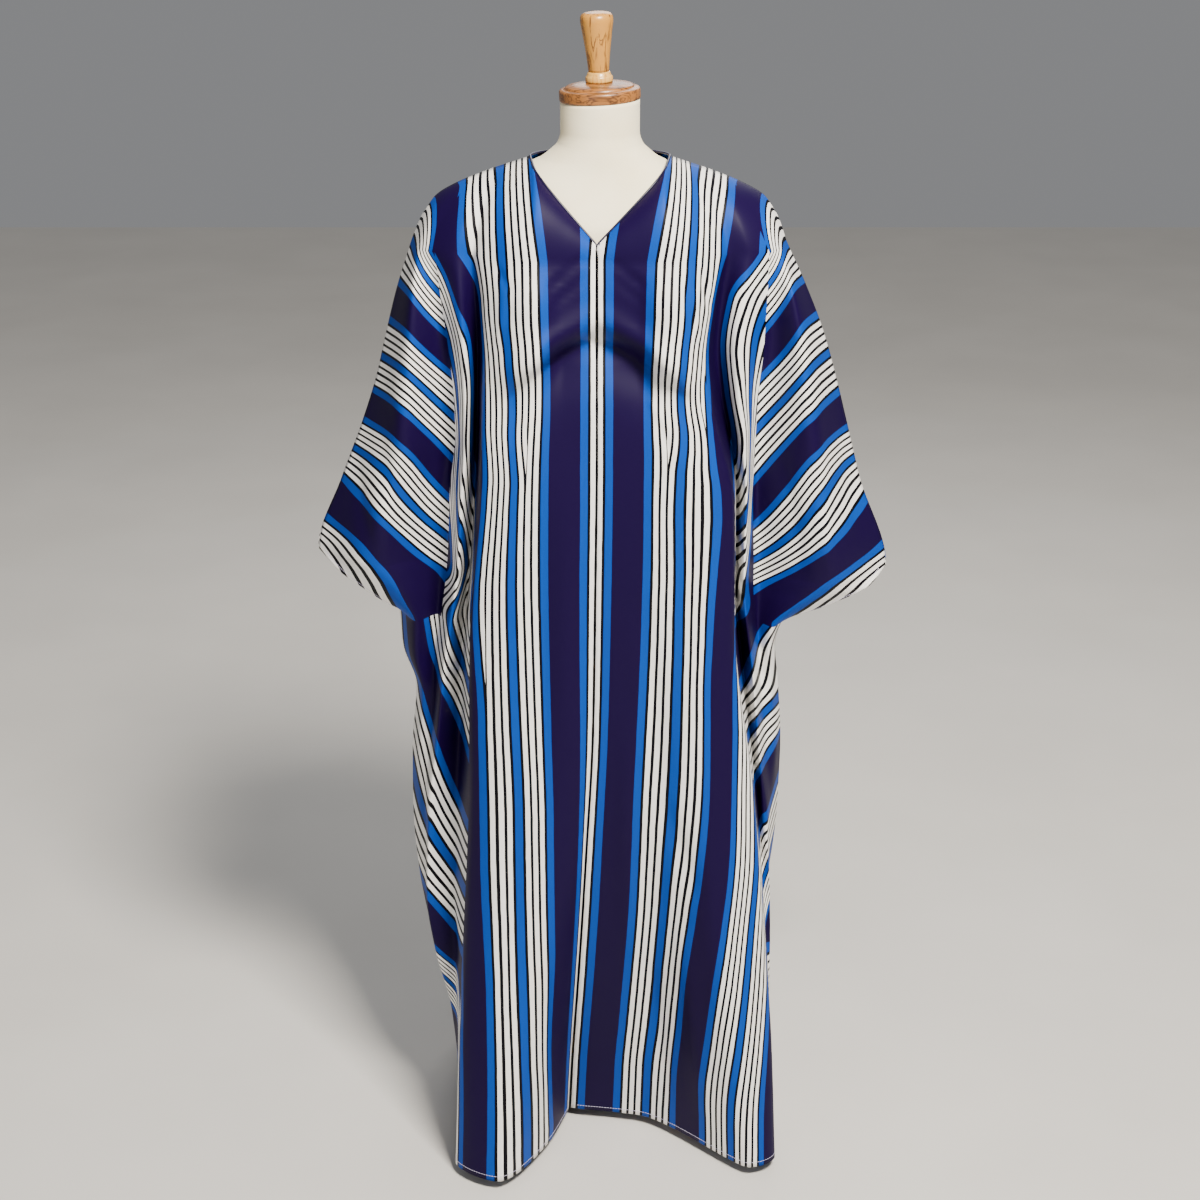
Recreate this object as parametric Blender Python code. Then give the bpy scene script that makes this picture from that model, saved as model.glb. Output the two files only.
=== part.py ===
"""A long V-necked kaftan dress with cut-on batwing sleeves, hung on a limbless dress form on a tripod.

The kaftan is four panels of thin cloth wall. Each panel is a net of points: a column follows one fold
from the neck or shoulder down to the hem, a row is a level cut through the garment. Lengths in metres,
+Z up, the front of the dress towards -Y, the viewer's left towards -X.
"""
import math

import bpy
import numpy as np

for old in list(bpy.data.objects):
    bpy.data.objects.remove(old)

# Where the middle of the whole object's box lies, so that it can be set over the origin
BOX_MID_X = 0.0035
BOX_MID_Y = 0.0120

# Cloth
WALL = 0.0018
SEAM_GAP = 0.0003
LEFT = -1
RIGHT = 1

# Neck opening and shoulder line
NECK_X = 0.089
NECK_Y = -0.004
NECK_Z = 1.390
V_BOTTOM_Z = 1.297
V_BOTTOM_Y = -0.105
BACK_NECK_Z = 1.386
BACK_NECK_Y = 0.067
CAP_Z = 1.280

# Depth of the chest under the V edge, from its bottom to the neck point
V_EDGE = (
    # along, y
    (0.0, V_BOTTOM_Y),
    (0.4, -0.094),
    (0.7, -0.081),
    (0.9, -0.060),
    (1.0, NECK_Y),
)

# The shoulder seam from the neck point to the end of the shoulder
SHOULDER = (
    # x, z
    (0.089, 1.3900),
    (0.117, 1.3805),
    (0.153, 1.3680),
    (0.190, 1.3520),
    (0.210, 1.3390),
    (0.222, 1.3220),
)

# Centre front seam: where it hangs at each height
CENTRE_FRONT = (
    # z, x, y
    (1.300, -0.004, -0.106),
    (1.240, -0.004, -0.121),
    (1.190, -0.004, -0.113),
    (1.140, -0.004, -0.126),
    (1.040, -0.004, -0.136),
    (0.860, -0.006, -0.142),
    (0.660, -0.009, -0.142),
    (0.460, -0.019, -0.135),
    (0.280, -0.029, -0.112),
    (0.100, -0.040, -0.072),
    (0.015, -0.044, -0.057),
)

# Front panel, outwards from the centre seam: inner slope, crest over the bust, edge where it turns back
PANEL_LEFT = (
    # z, inner x, inner y, crest x, crest y, edge x, edge y
    (1.280, 0.045, -0.121, 0.090, -0.126, 0.149, -0.094),
    (1.220, 0.045, -0.130, 0.086, -0.146, 0.144, -0.106),
    (1.160, 0.045, -0.124, 0.088, -0.147, 0.144, -0.112),
    (1.100, 0.045, -0.131, 0.090, -0.136, 0.147, -0.118),
    (0.960, 0.048, -0.144, 0.100, -0.145, 0.154, -0.125),
    (0.775, 0.052, -0.152, 0.110, -0.151, 0.168, -0.132),
    (0.560, 0.056, -0.160, 0.116, -0.166, 0.171, -0.142),
    (0.360, 0.062, -0.166, 0.124, -0.186, 0.181, -0.158),
    (0.190, 0.068, -0.162, 0.132, -0.211, 0.194, -0.174),
    (0.015, 0.075, -0.150, 0.140, -0.240, 0.203, -0.190),
)
PANEL_RIGHT = (
    # z, inner x, inner y, crest x, crest y, edge x, edge y
    (1.280, 0.045, -0.121, 0.090, -0.126, 0.148, -0.094),
    (1.220, 0.045, -0.130, 0.086, -0.146, 0.136, -0.108),
    (1.160, 0.045, -0.124, 0.086, -0.147, 0.130, -0.116),
    (1.100, 0.046, -0.131, 0.090, -0.136, 0.138, -0.120),
    (0.960, 0.050, -0.142, 0.112, -0.145, 0.172, -0.124),
    (0.775, 0.054, -0.146, 0.120, -0.149, 0.176, -0.128),
    (0.560, 0.058, -0.142, 0.138, -0.158, 0.205, -0.136),
    (0.360, 0.060, -0.124, 0.160, -0.172, 0.223, -0.148),
    (0.190, 0.060, -0.098, 0.184, -0.188, 0.238, -0.160),
    (0.015, 0.058, -0.076, 0.208, -0.206, 0.246, -0.177),
)

# Beside the front panel: the valley behind its edge, the rib, the nook beside the sleeve, and the rim,
# which is the overarm seam down to the cuff and the side seam below it
SIDE_LEFT = (
    # z, valley y, rib x, rib y, nook x, nook y, belly y, rim x, rim y
    (1.280, -0.078, 0.180, -0.080, 0.216, -0.062, -0.050, 0.243, 0.000),
    (1.220, -0.072, 0.176, -0.092, 0.211, -0.060, -0.074, 0.263, -0.002),
    (1.160, -0.064, 0.173, -0.096, 0.204, -0.054, -0.084, 0.279, -0.003),
    (1.100, -0.058, 0.172, -0.096, 0.198, -0.048, -0.088, 0.294, -0.003),
    (1.040, -0.052, 0.173, -0.096, 0.196, -0.042, -0.088, 0.314, -0.002),
    (0.960, -0.048, 0.180, -0.094, 0.206, -0.036, -0.084, 0.345, 0.000),
    (0.860, -0.042, 0.187, -0.090, 0.212, -0.028, -0.074, 0.380, 0.000),
    (0.774, -0.040, 0.200, -0.084, 0.220, -0.026, -0.052, 0.273, -0.002),
    (0.720, -0.040, 0.208, -0.080, 0.226, -0.028, -0.046, 0.270, 0.000),
    (0.660, -0.042, 0.215, -0.076, 0.228, -0.034, -0.034, 0.254, 0.004),
    (0.560, -0.046, 0.226, -0.068, 0.236, -0.038, -0.026, 0.262, 0.010),
    (0.460, -0.052, 0.236, -0.062, 0.243, -0.038, -0.018, 0.264, 0.016),
    (0.360, -0.060, 0.241, -0.060, 0.246, -0.036, -0.010, 0.258, 0.020),
    (0.280, -0.072, 0.232, -0.064, 0.236, -0.034, -0.006, 0.245, 0.024),
    (0.190, -0.086, 0.212, -0.066, 0.216, -0.034, -0.002, 0.222, 0.028),
    (0.100, -0.100, 0.204, -0.068, 0.206, -0.034, 0.000, 0.208, 0.032),
    (0.015, -0.112, 0.202, -0.070, 0.203, -0.034, 0.002, 0.204, 0.036),
)
SIDE_RIGHT = (
    # z, valley y, rib x, rib y, nook x, nook y, belly y, rim x, rim y
    (1.280, -0.078, 0.186, -0.080, 0.220, -0.062, -0.050, 0.240, 0.000),
    (1.220, -0.072, 0.180, -0.092, 0.222, -0.060, -0.074, 0.268, -0.002),
    (1.160, -0.064, 0.176, -0.096, 0.222, -0.054, -0.084, 0.292, -0.003),
    (1.100, -0.058, 0.178, -0.096, 0.216, -0.048, -0.088, 0.310, -0.003),
    (1.040, -0.052, 0.184, -0.094, 0.212, -0.042, -0.088, 0.326, -0.002),
    (0.960, -0.048, 0.190, -0.090, 0.208, -0.036, -0.084, 0.347, 0.000),
    (0.835, -0.042, 0.190, -0.088, 0.214, -0.028, -0.072, 0.387, 0.000),
    (0.762, -0.040, 0.198, -0.084, 0.214, -0.026, -0.044, 0.252, -0.002),
    (0.720, -0.040, 0.204, -0.080, 0.217, -0.028, -0.038, 0.240, 0.000),
    (0.660, -0.042, 0.210, -0.074, 0.222, -0.034, -0.030, 0.246, 0.004),
    (0.560, -0.046, 0.220, -0.066, 0.230, -0.038, -0.022, 0.252, 0.010),
    (0.460, -0.052, 0.230, -0.062, 0.236, -0.038, -0.014, 0.250, 0.016),
    (0.360, -0.060, 0.238, -0.060, 0.239, -0.036, -0.008, 0.241, 0.020),
    (0.280, -0.072, 0.240, -0.062, 0.236, -0.034, -0.004, 0.230, 0.024),
    (0.190, -0.086, 0.240, -0.066, 0.232, -0.034, 0.000, 0.220, 0.028),
    (0.100, -0.100, 0.240, -0.068, 0.230, -0.034, 0.000, 0.214, 0.032),
    (0.015, -0.112, 0.240, -0.070, 0.228, -0.034, 0.002, 0.210, 0.036),
)

# Back, outwards from the centre back: shoulder blade crest, edge, valley, belly of the sleeve or side
BACK = (
    # z, centre y, crest x, crest y, edge x, edge y, valley x, valley y, belly y
    (1.280, 0.106, 0.090, 0.111, 0.150, 0.098, 0.178, 0.080, 0.050),
    (1.220, 0.108, 0.090, 0.115, 0.148, 0.098, 0.178, 0.070, 0.072),
    (1.160, 0.106, 0.088, 0.114, 0.148, 0.100, 0.178, 0.058, 0.082),
    (1.040, 0.100, 0.085, 0.110, 0.150, 0.102, 0.180, 0.048, 0.086),
    (0.900, 0.116, 0.088, 0.128, 0.156, 0.112, 0.186, 0.042, 0.078),
    (0.775, 0.130, 0.092, 0.146, 0.164, 0.124, 0.192, 0.046, 0.058),
    (0.560, 0.150, 0.100, 0.172, 0.176, 0.138, 0.204, 0.058, 0.062),
    (0.360, 0.182, 0.106, 0.204, 0.184, 0.156, 0.206, 0.078, 0.080),
    (0.190, 0.216, 0.110, 0.234, 0.190, 0.176, 0.204, 0.098, 0.096),
    (0.015, 0.250, 0.114, 0.264, 0.196, 0.196, 0.202, 0.116, 0.110),
)

# How deep the hollow between the centre back and each shoulder blade gets at the hem
BACK_DIP = 0.030

# Shares of the way between neighbouring folds, and the least width of a sleeve beside its nook
VALLEY_SHARE = 0.45
FRONT_BELLY_SHARE = 0.50
BACK_BELLY_SHARE = 0.55
SLEEVE_LEAST = 0.008

# Cuff mouths: levels between the two corners, where the front and back edges part
CUFF_LEFT = (
    # z, front x, front y, back x, back y
    (0.860, 0.380, 0.000, 0.380, 0.000),
    (0.835, 0.344, -0.036, 0.368, 0.030),
    (0.815, 0.313, -0.044, 0.346, 0.042),
    (0.795, 0.291, -0.034, 0.314, 0.034),
    (0.774, 0.273, -0.002, 0.273, -0.002),
)
CUFF_RIGHT = (
    # z, front x, front y, back x, back y
    (0.835, 0.387, 0.000, 0.387, 0.000),
    (0.815, 0.357, -0.036, 0.378, 0.030),
    (0.795, 0.309, -0.044, 0.346, 0.042),
    (0.774, 0.270, -0.026, 0.292, 0.028),
    (0.762, 0.252, -0.002, 0.252, -0.002),
)

# Net of a panel: columns between neighbouring folds, rows above the cap level, and levels below it
FRONT_STEPS = (2, 3, 3, 2, 2, 2, 3, 3)
BACK_STEPS = (2, 3, 4, 4, 4, 3)
NECK_COLUMN = 5
CAP_ROWS = (0.0, 0.22, 0.46, 0.73)
CAP_ROUNDING = 0.85
CAP_STRAIGHTNESS = 0.45
LEVELS = (
    1.280, 1.240, 1.200, 1.160, 1.120, 1.070, 1.020, 0.960, 0.905, 0.860, 0.835, 0.815, 0.795, 0.774,
    0.762, 0.720, 0.660, 0.580, 0.490, 0.400, 0.300, 0.200, 0.110, 0.015,
)

# Neck binding, a narrow folded strip that closes the neck edge
BINDING_WIDTH = 0.0040
BINDING_GAP = 0.0005
BINDING_OUT = 0.0006
BINDING_IN = 0.0022

# Dress form
NECK_TILT = math.radians(2.5)
FORM_TOP_Z = 1.4600
FORM_RINGS = (
    # z, half width, half depth, fullness
    (1.4600, 0.0503, 0.0503, 2.0),
    (1.4200, 0.0503, 0.0503, 2.0),
    (1.4060, 0.0545, 0.0530, 2.0),
    (1.3965, 0.0640, 0.0550, 2.0),
    (1.3873, 0.0762, 0.0565, 2.0),
    (1.3763, 0.1035, 0.0590, 2.0),
    (1.3626, 0.1390, 0.0650, 2.1),
    (1.3480, 0.1690, 0.0735, 2.2),
    (1.3315, 0.1900, 0.0850, 2.3),
    (1.3110, 0.2020, 0.0955, 2.4),
    (1.2800, 0.1980, 0.0985, 2.3),
    (1.2400, 0.1820, 0.0985, 2.2),
    (1.2000, 0.1640, 0.0975, 2.1),
    (1.1600, 0.1480, 0.0960, 2.1),
    (1.1000, 0.1340, 0.0900, 2.1),
    (1.0300, 0.1220, 0.0850, 2.1),
    (0.9700, 0.1240, 0.0860, 2.1),
    (0.9000, 0.1420, 0.0960, 2.1),
    (0.8400, 0.1540, 0.1040, 2.1),
    (0.7900, 0.1560, 0.1060, 2.1),
    (0.7400, 0.1500, 0.1020, 2.1),
)
FORM_AROUND = 36
BUST_X = 0.082
BUST_Z = 1.195
BUST_RISE = 0.034
BUST_SPREAD = 0.052

# Neck cap and finial, turned, radii from the axis
CAP_PROFILE = (
    # radius, height above the neck
    (0.0505, 0.0003),
    (0.0515, 0.0020),
    (0.0515, 0.0120),
    (0.0500, 0.0140),
    (0.0440, 0.0150),
    (0.0430, 0.0175),
    (0.0300, 0.0205),
    (0.0170, 0.0220),
)
FERRULE_PROFILE = (
    # radius, height above the neck
    (0.0165, 0.0223),
    (0.0175, 0.0235),
    (0.0170, 0.0290),
    (0.0150, 0.0320),
    (0.0138, 0.0350),
)
FINIAL_PROFILE = (
    # radius, height above the neck
    (0.0132, 0.0353),
    (0.0136, 0.0420),
    (0.0160, 0.0640),
    (0.0190, 0.0850),
    (0.0208, 0.0960),
    (0.0204, 0.1020),
    (0.0170, 0.1065),
    (0.0090, 0.1085),
)
TURNED_AROUND = 32

# Pole, hub and legs
POLE_Y = 0.020
POLE_RADIUS = 0.0125
HUB_TOP = 0.160
HUB_BOTTOM = 0.085
HUB_RADIUS = 0.030
LEG_WIDTH = 0.024
LEG_SIDE_REACH = 0.170
LEG_FRONT_REACH = 0.120
LEG_BACK_REACH = 0.200
LEG_TOP = (
    # share of the reach, height
    (0.00, 0.1500),
    (0.20, 0.1240),
    (0.45, 0.0820),
    (0.70, 0.0480),
    (0.90, 0.0300),
    (1.00, 0.0240),
)
LEG_UNDERSIDE = (
    # share of the reach, height
    (1.00, 0.0000),
    (0.86, 0.0000),
    (0.70, 0.0140),
    (0.45, 0.0440),
    (0.20, 0.0820),
    (0.00, 0.1000),
)


def make_material(name, colour, roughness):
    """A plain surface of one colour."""
    material = bpy.data.materials.new(name)
    material.use_nodes = True
    shader = material.node_tree.nodes["Principled BSDF"]
    shader.inputs["Base Color"].default_value = (*colour, 1.0)
    shader.inputs["Roughness"].default_value = roughness
    return material


def add_piece(name, points, faces, material, smooth):
    """A closed body from its points and faces, set over the origin."""
    moved = [(x - BOX_MID_X, y - BOX_MID_Y, z) for x, y, z in points]
    mesh = bpy.data.meshes.new(name)
    mesh.from_pydata(moved, [], faces)
    mesh.update()
    for face in mesh.polygons:
        face.use_smooth = smooth
    mesh.materials.append(material)
    piece = bpy.data.objects.new(name, mesh)
    bpy.context.scene.collection.objects.link(piece)
    return piece


def smooth_value(knots, values, at):
    """A value on the smooth curve through knots that never swings past its neighbours."""
    knots = np.asarray(knots, float)
    values = np.asarray(values, float)
    if knots[0] > knots[-1]:
        knots = knots[::-1]
        values = values[::-1]
    steps = np.diff(knots)
    slopes = np.diff(values) / steps
    turns = np.zeros(len(knots))
    turns[0] = slopes[0]
    turns[-1] = slopes[-1]
    for i in range(1, len(knots) - 1):
        if slopes[i - 1] * slopes[i] > 0:
            before = 2 * steps[i] + steps[i - 1]
            after = steps[i] + 2 * steps[i - 1]
            turns[i] = (before + after) / (before / slopes[i - 1] + after / slopes[i])
    at = min(max(at, knots[0]), knots[-1])
    k = min(int(np.searchsorted(knots, at, side="right")) - 1, len(steps) - 1)
    t = (at - knots[k]) / steps[k]
    start = (1 + 2 * t) * (1 - t) ** 2 * values[k] + t * (1 - t) ** 2 * steps[k] * turns[k]
    end = t * t * (3 - 2 * t) * values[k + 1] + t * t * (t - 1) * steps[k] * turns[k + 1]
    return start + end


def read_row(table, z):
    """The row of a table at height z, its columns read off smoothly between the rows given."""
    table = np.array(table)
    return [smooth_value(table[:, 0], table[:, c], z) for c in range(1, table.shape[1])]


def column_places(steps):
    """Where each column of a net lies, counted in folds."""
    places = [0.0]
    for fold, count in enumerate(steps):
        places += [fold + (k + 1) / count for k in range(count)]
    return places


def rim_at(side, face, z):
    """The outer edge of a panel at height z: seam, or one lip of the cuff mouth."""
    table = SIDE_LEFT if side == LEFT else SIDE_RIGHT
    cuff = CUFF_LEFT if side == LEFT else CUFF_RIGHT
    if cuff[-1][0] <= z <= cuff[0][0]:
        front_x, front_y, back_x, back_y = read_row(cuff, z)
        return (front_x, front_y) if face == "front" else (back_x, back_y)
    row = read_row(table, z)
    return row[6], row[7]


def front_knots(side, z):
    """The folds that a level cut of the front goes through, as x and y, outwards positive."""
    centre_x, centre_y = read_row(CENTRE_FRONT, z)
    panel = read_row(PANEL_LEFT if side == LEFT else PANEL_RIGHT, z)
    inner_x, inner_y, crest_x, crest_y, edge_x, edge_y = panel
    beside = read_row(SIDE_LEFT if side == LEFT else SIDE_RIGHT, z)
    valley_y, rib_x, rib_y, nook_x, nook_y, belly_y = beside[:6]
    rim_x, rim_y = rim_at(side, "front", z)
    nook_x = min(nook_x, rim_x - SLEEVE_LEAST)
    valley_x = edge_x + VALLEY_SHARE * (rib_x - edge_x)
    belly_x = nook_x + FRONT_BELLY_SHARE * (rim_x - nook_x)
    xs = (centre_x * side, inner_x, crest_x, edge_x, valley_x, rib_x, nook_x, belly_x, rim_x)
    ys = (centre_y, inner_y, crest_y, edge_y, valley_y, rib_y, nook_y, belly_y, rim_y)
    return xs, ys


def back_knots(side, z):
    """The folds that a level cut of the back goes through."""
    row = read_row(BACK, z)
    centre_y, crest_x, crest_y, edge_x, edge_y, valley_x, valley_y, belly_y = row
    rim_x, rim_y = rim_at(side, "back", z)
    belly_x = valley_x + BACK_BELLY_SHARE * (rim_x - valley_x)
    xs = (0.0, 0.5 * crest_x, crest_x, edge_x, valley_x, belly_x, rim_x)
    dip_y = 0.5 * (centre_y + crest_y) - BACK_DIP * (CAP_Z - z) / CAP_Z
    ys = (centre_y, dip_y, crest_y, edge_y, valley_y, belly_y, rim_y)
    return xs, ys


def level_cut(side, face, z, places):
    """One level cut of a panel: a smooth curve through the folds."""
    xs, ys = front_knots(side, z) if face == "front" else back_knots(side, z)
    folds = list(range(len(xs)))
    cut = []
    for place in places:
        x = smooth_value(folds, xs, place)
        y = smooth_value(folds, ys, place)
        cut.append(np.array([side * x, y, z]))
    return cut


def top_edge(side, face, places):
    """The neck edge and the shoulder seam, one point for each column."""
    edge = []
    last = places[-1]
    neck = places[NECK_COLUMN]
    shoulder_z = np.array(SHOULDER)
    for i, place in enumerate(places):
        if i <= NECK_COLUMN:
            along = i / NECK_COLUMN
            if face == "front":
                start_x = side * CENTRE_FRONT[0][1]
                x = start_x + along * (NECK_X - start_x)
                y = smooth_value(*zip(*V_EDGE), along)
                z = V_BOTTOM_Z + along * (NECK_Z - V_BOTTOM_Z)
            else:
                turn = along * math.pi / 2
                x = NECK_X * math.sin(turn)
                y = NECK_Y + (BACK_NECK_Y - NECK_Y) * math.cos(turn)
                z = NECK_Z + (BACK_NECK_Z - NECK_Z) * math.cos(turn)
        else:
            along = (i - NECK_COLUMN) / (len(places) - 1 - NECK_COLUMN)
            x = NECK_X + along * (SHOULDER[-1][0] - NECK_X)
            y = NECK_Y * (1 - along)
            z = smooth_value(shoulder_z[:, 0], shoulder_z[:, 1], x)
        edge.append(np.array([side * x, y, z]))
    return edge


def panel_net(side, face):
    """All rows of a panel, from the neck and shoulder down to the hem."""
    places = column_places(FRONT_STEPS if face == "front" else BACK_STEPS)
    cap = level_cut(side, face, CAP_Z, places)
    top = top_edge(side, face, places)
    rows = []
    for share in CAP_ROWS:
        out = math.sin(math.pi / 2 * share ** CAP_ROUNDING)
        round_drop = 1 - math.cos(math.pi / 2 * share)
        drop = CAP_STRAIGHTNESS * share + (1 - CAP_STRAIGHTNESS) * round_drop
        row = []
        for start, end in zip(top, cap):
            x = start[0] + (end[0] - start[0]) * share
            y = start[1] + (end[1] - start[1]) * out
            z = start[2] + (end[2] - start[2]) * drop
            row.append(np.array([x, y, z]))
        rows.append(row)
    rows += [level_cut(side, face, z, places) for z in LEVELS]
    return np.array(rows)


def net_normals(net, outward):
    """Normals of a net, pointing out of the garment, each the mean of the faces round a point."""
    falling = net[1:, 1:] - net[:-1, :-1]
    rising = net[:-1, 1:] - net[1:, :-1]
    face = np.cross(falling, rising) * outward
    face /= np.linalg.norm(face, axis=2, keepdims=True)
    normal = np.zeros(net.shape)
    normal[:-1, :-1] += face
    normal[:-1, 1:] += face
    normal[1:, :-1] += face
    normal[1:, 1:] += face
    return normal / np.linalg.norm(normal, axis=2, keepdims=True)


def place_key(point):
    """A point's place, rounded so that the same place on two panels reads the same."""
    return tuple(np.round(point, 5))


nets = {}
normals = {}
for side in (LEFT, RIGHT):
    for face in ("front", "back"):
        net = panel_net(side, face)
        outward = side if face == "front" else -side
        nets[side, face] = net
        normals[side, face] = net_normals(net, outward)

# Panels that meet along a seam share one direction there, so that their inner walls meet too
shared = {}
for name, net in nets.items():
    for point, normal in zip(net.reshape(-1, 3), normals[name].reshape(-1, 3)):
        key = place_key(point)
        shared[key] = shared.get(key, 0) + normal
for name, net in nets.items():
    flat = normals[name].reshape(-1, 3)
    for i, point in enumerate(net.reshape(-1, 3)):
        normal = shared[place_key(point)]
        flat[i] = normal / np.linalg.norm(normal)


def seam_shift(net, columns):
    """Draws the given edge columns in by half the gap of a seam."""
    moved = net.copy()
    for edge, inside in columns:
        step = net[:, inside] - net[:, edge]
        step = step / np.linalg.norm(step, axis=1, keepdims=True)
        moved[:, edge] += step * SEAM_GAP / 2
    return moved


def wall_faces(outer, flip):
    """Triangles of a closed wall between an outer net and an inner one, both split the same way."""
    rows, columns = outer.shape[:2]
    count = rows * columns
    flat = outer.reshape(-1, 3)
    faces = []
    for r in range(rows - 1):
        for c in range(columns - 1):
            corner = r * columns + c
            quad = (corner, corner + columns, corner + columns + 1, corner + 1)
            first = np.linalg.norm(flat[quad[0]] - flat[quad[2]])
            second = np.linalg.norm(flat[quad[1]] - flat[quad[3]])
            if second < first:
                quad = quad[1:] + quad[:1]
            for half in ((quad[0], quad[1], quad[2]), (quad[0], quad[2], quad[3])):
                faces.append(half)
                faces.append(tuple(v + count for v in reversed(half)))
    ring = list(range(columns))
    ring += [r * columns + columns - 1 for r in range(1, rows)]
    ring += [(rows - 1) * columns + c for c in range(columns - 2, -1, -1)]
    ring += [r * columns for r in range(rows - 2, 0, -1)]
    for a, b in zip(ring, ring[1:] + ring[:1]):
        faces.append((a, b, b + count, a + count))
    if flip:
        faces = [tuple(reversed(face)) for face in faces]
    return faces


def cloth_piece(name, outer, normal, flip, material):
    """A panel as a thin closed wall."""
    inner = outer - normal * WALL
    points = np.concatenate([outer.reshape(-1, 3), inner.reshape(-1, 3)])
    faces = wall_faces(outer, flip)
    return add_piece(name, points, faces, material, True)


cloth = make_material("striped_crepe", (0.045, 0.018, 0.14), 0.55)
piping = make_material("neck_binding_satin", (0.010, 0.008, 0.030), 0.50)
jersey = make_material("form_jersey", (0.86, 0.82, 0.70), 0.70)
walnut = make_material("walnut", (0.20, 0.09, 0.04), 0.35)
olive_wood = make_material("olive_wood", (0.45, 0.27, 0.12), 0.35)
beech = make_material("beech", (0.55, 0.36, 0.19), 0.45)

# The two front panels, each cut in one with the front of its sleeve and joined by the centre seam
for side, name in ((LEFT, "front_left"), (RIGHT, "front_right")):
    net = seam_shift(nets[side, "front"], ((0, 1), (-1, -2)))
    top = net[0, NECK_COLUMN:]
    below = net[1, NECK_COLUMN:]
    step = below - top
    net[0, NECK_COLUMN:] += step / np.linalg.norm(step, axis=1, keepdims=True) * SEAM_GAP / 2
    cloth_piece(name, net, normals[side, "front"], side == LEFT, cloth)

# The back, cut whole with the backs of both sleeves
left = nets[LEFT, "back"][:, ::-1]
right = nets[RIGHT, "back"]
net = np.concatenate([left, right[:, 1:]], axis=1)
left = normals[LEFT, "back"][:, ::-1]
right = normals[RIGHT, "back"]
normal = np.concatenate([left, right[:, 1:]], axis=1)
net = seam_shift(net, ((0, 1), (-1, -2)))
columns = net.shape[1]
for c in range(columns):
    if min(c, columns - 1 - c) <= len(column_places(BACK_STEPS)) - 1 - NECK_COLUMN:
        step = net[1, c] - net[0, c]
        net[0, c] += step / np.linalg.norm(step) * SEAM_GAP / 2
cloth_piece("back", net, normal, True, cloth)

# Neck binding, one closed strip round the V in front and the neck behind, mitred at its corners
loop = []
for side, face, order in (
    (LEFT, "front", range(NECK_COLUMN, 0, -1)),
    (RIGHT, "front", range(0, NECK_COLUMN)),
    (RIGHT, "back", range(NECK_COLUMN, 0, -1)),
    (LEFT, "back", range(0, NECK_COLUMN)),
):
    for i in order:
        edge = nets[side, face][0, i]
        below = nets[side, face][1, i]
        loop.append((edge, below, normals[side, face][0, i]))
points = []
for k, (edge, below, normal) in enumerate(loop):
    before = loop[k - 1][0] - edge
    after = loop[(k + 1) % len(loop)][0] - edge
    before = before / np.linalg.norm(before)
    after = after / np.linalg.norm(after)
    along = after - before
    along = along / np.linalg.norm(along)
    away = np.cross(along, normal)
    away = away / np.linalg.norm(away)
    if np.dot(away, below - edge) > 0:
        away = -away
    mitre = 1 / max(0.5, np.linalg.norm(after - before) / 2)
    near = edge + away * BINDING_GAP * mitre
    far = edge + away * (BINDING_GAP + BINDING_WIDTH) * mitre
    points += [
        near + normal * BINDING_OUT,
        far + normal * BINDING_OUT,
        far - normal * BINDING_IN,
        near - normal * BINDING_IN,
    ]
faces = []
for k in range(len(loop)):
    start = 4 * k
    end = 4 * ((k + 1) % len(loop))
    for c in range(4):
        d = (c + 1) % 4
        faces.append((start + c, end + c, end + d, start + d))
add_piece("neck_binding", points, faces, piping, False)

# The torso of the dress form, one smooth body from the neck down to the hips
rings = []
for z, half_width, half_depth, fullness in FORM_RINGS:
    ring = []
    for k in range(FORM_AROUND):
        turn = 2 * math.pi * k / FORM_AROUND
        cos_part = math.copysign(abs(math.cos(turn)) ** (2 / fullness), math.cos(turn))
        sin_part = math.copysign(abs(math.sin(turn)) ** (2 / fullness), math.sin(turn))
        x = half_width * cos_part
        y = half_depth * sin_part
        if y < 0:
            for centre in (-BUST_X, BUST_X):
                off = ((x - centre) ** 2 + (z - BUST_Z) ** 2) / BUST_SPREAD ** 2
                y -= BUST_RISE * math.exp(-off)
        lean = x * math.tan(NECK_TILT) if z == FORM_TOP_Z else 0.0
        ring.append((x, y, z + lean))
    rings.append(ring)
points = [point for ring in rings for point in ring]
faces = [tuple(range(FORM_AROUND))]
for r in range(len(rings) - 1):
    for k in range(FORM_AROUND):
        a = r * FORM_AROUND + k
        b = r * FORM_AROUND + (k + 1) % FORM_AROUND
        faces.append((a, a + FORM_AROUND, b + FORM_AROUND, b))
last = (len(rings) - 1) * FORM_AROUND
faces.append(tuple(last + k for k in reversed(range(FORM_AROUND))))
add_piece("form_torso", points, faces, jersey, True)


def turned_piece(name, profile, place, lean, material):
    """A turned body with flat ends about an upright axis, leaning sideways by an angle."""
    points = []
    for radius, height in profile:
        for k in range(TURNED_AROUND):
            turn = 2 * math.pi * k / TURNED_AROUND
            x = radius * math.cos(turn)
            y = radius * math.sin(turn)
            tilted_x = x * math.cos(lean) - height * math.sin(lean)
            tilted_z = x * math.sin(lean) + height * math.cos(lean)
            points.append((place[0] + tilted_x, place[1] + y, place[2] + tilted_z))
    count = TURNED_AROUND
    faces = [tuple(reversed(range(count)))]
    for r in range(len(profile) - 1):
        for k in range(count):
            a = r * count + k
            b = r * count + (k + 1) % count
            faces.append((a, b, b + count, a + count))
    faces.append(tuple((len(profile) - 1) * count + k for k in range(count)))
    return add_piece(name, points, faces, material, True)


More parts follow.
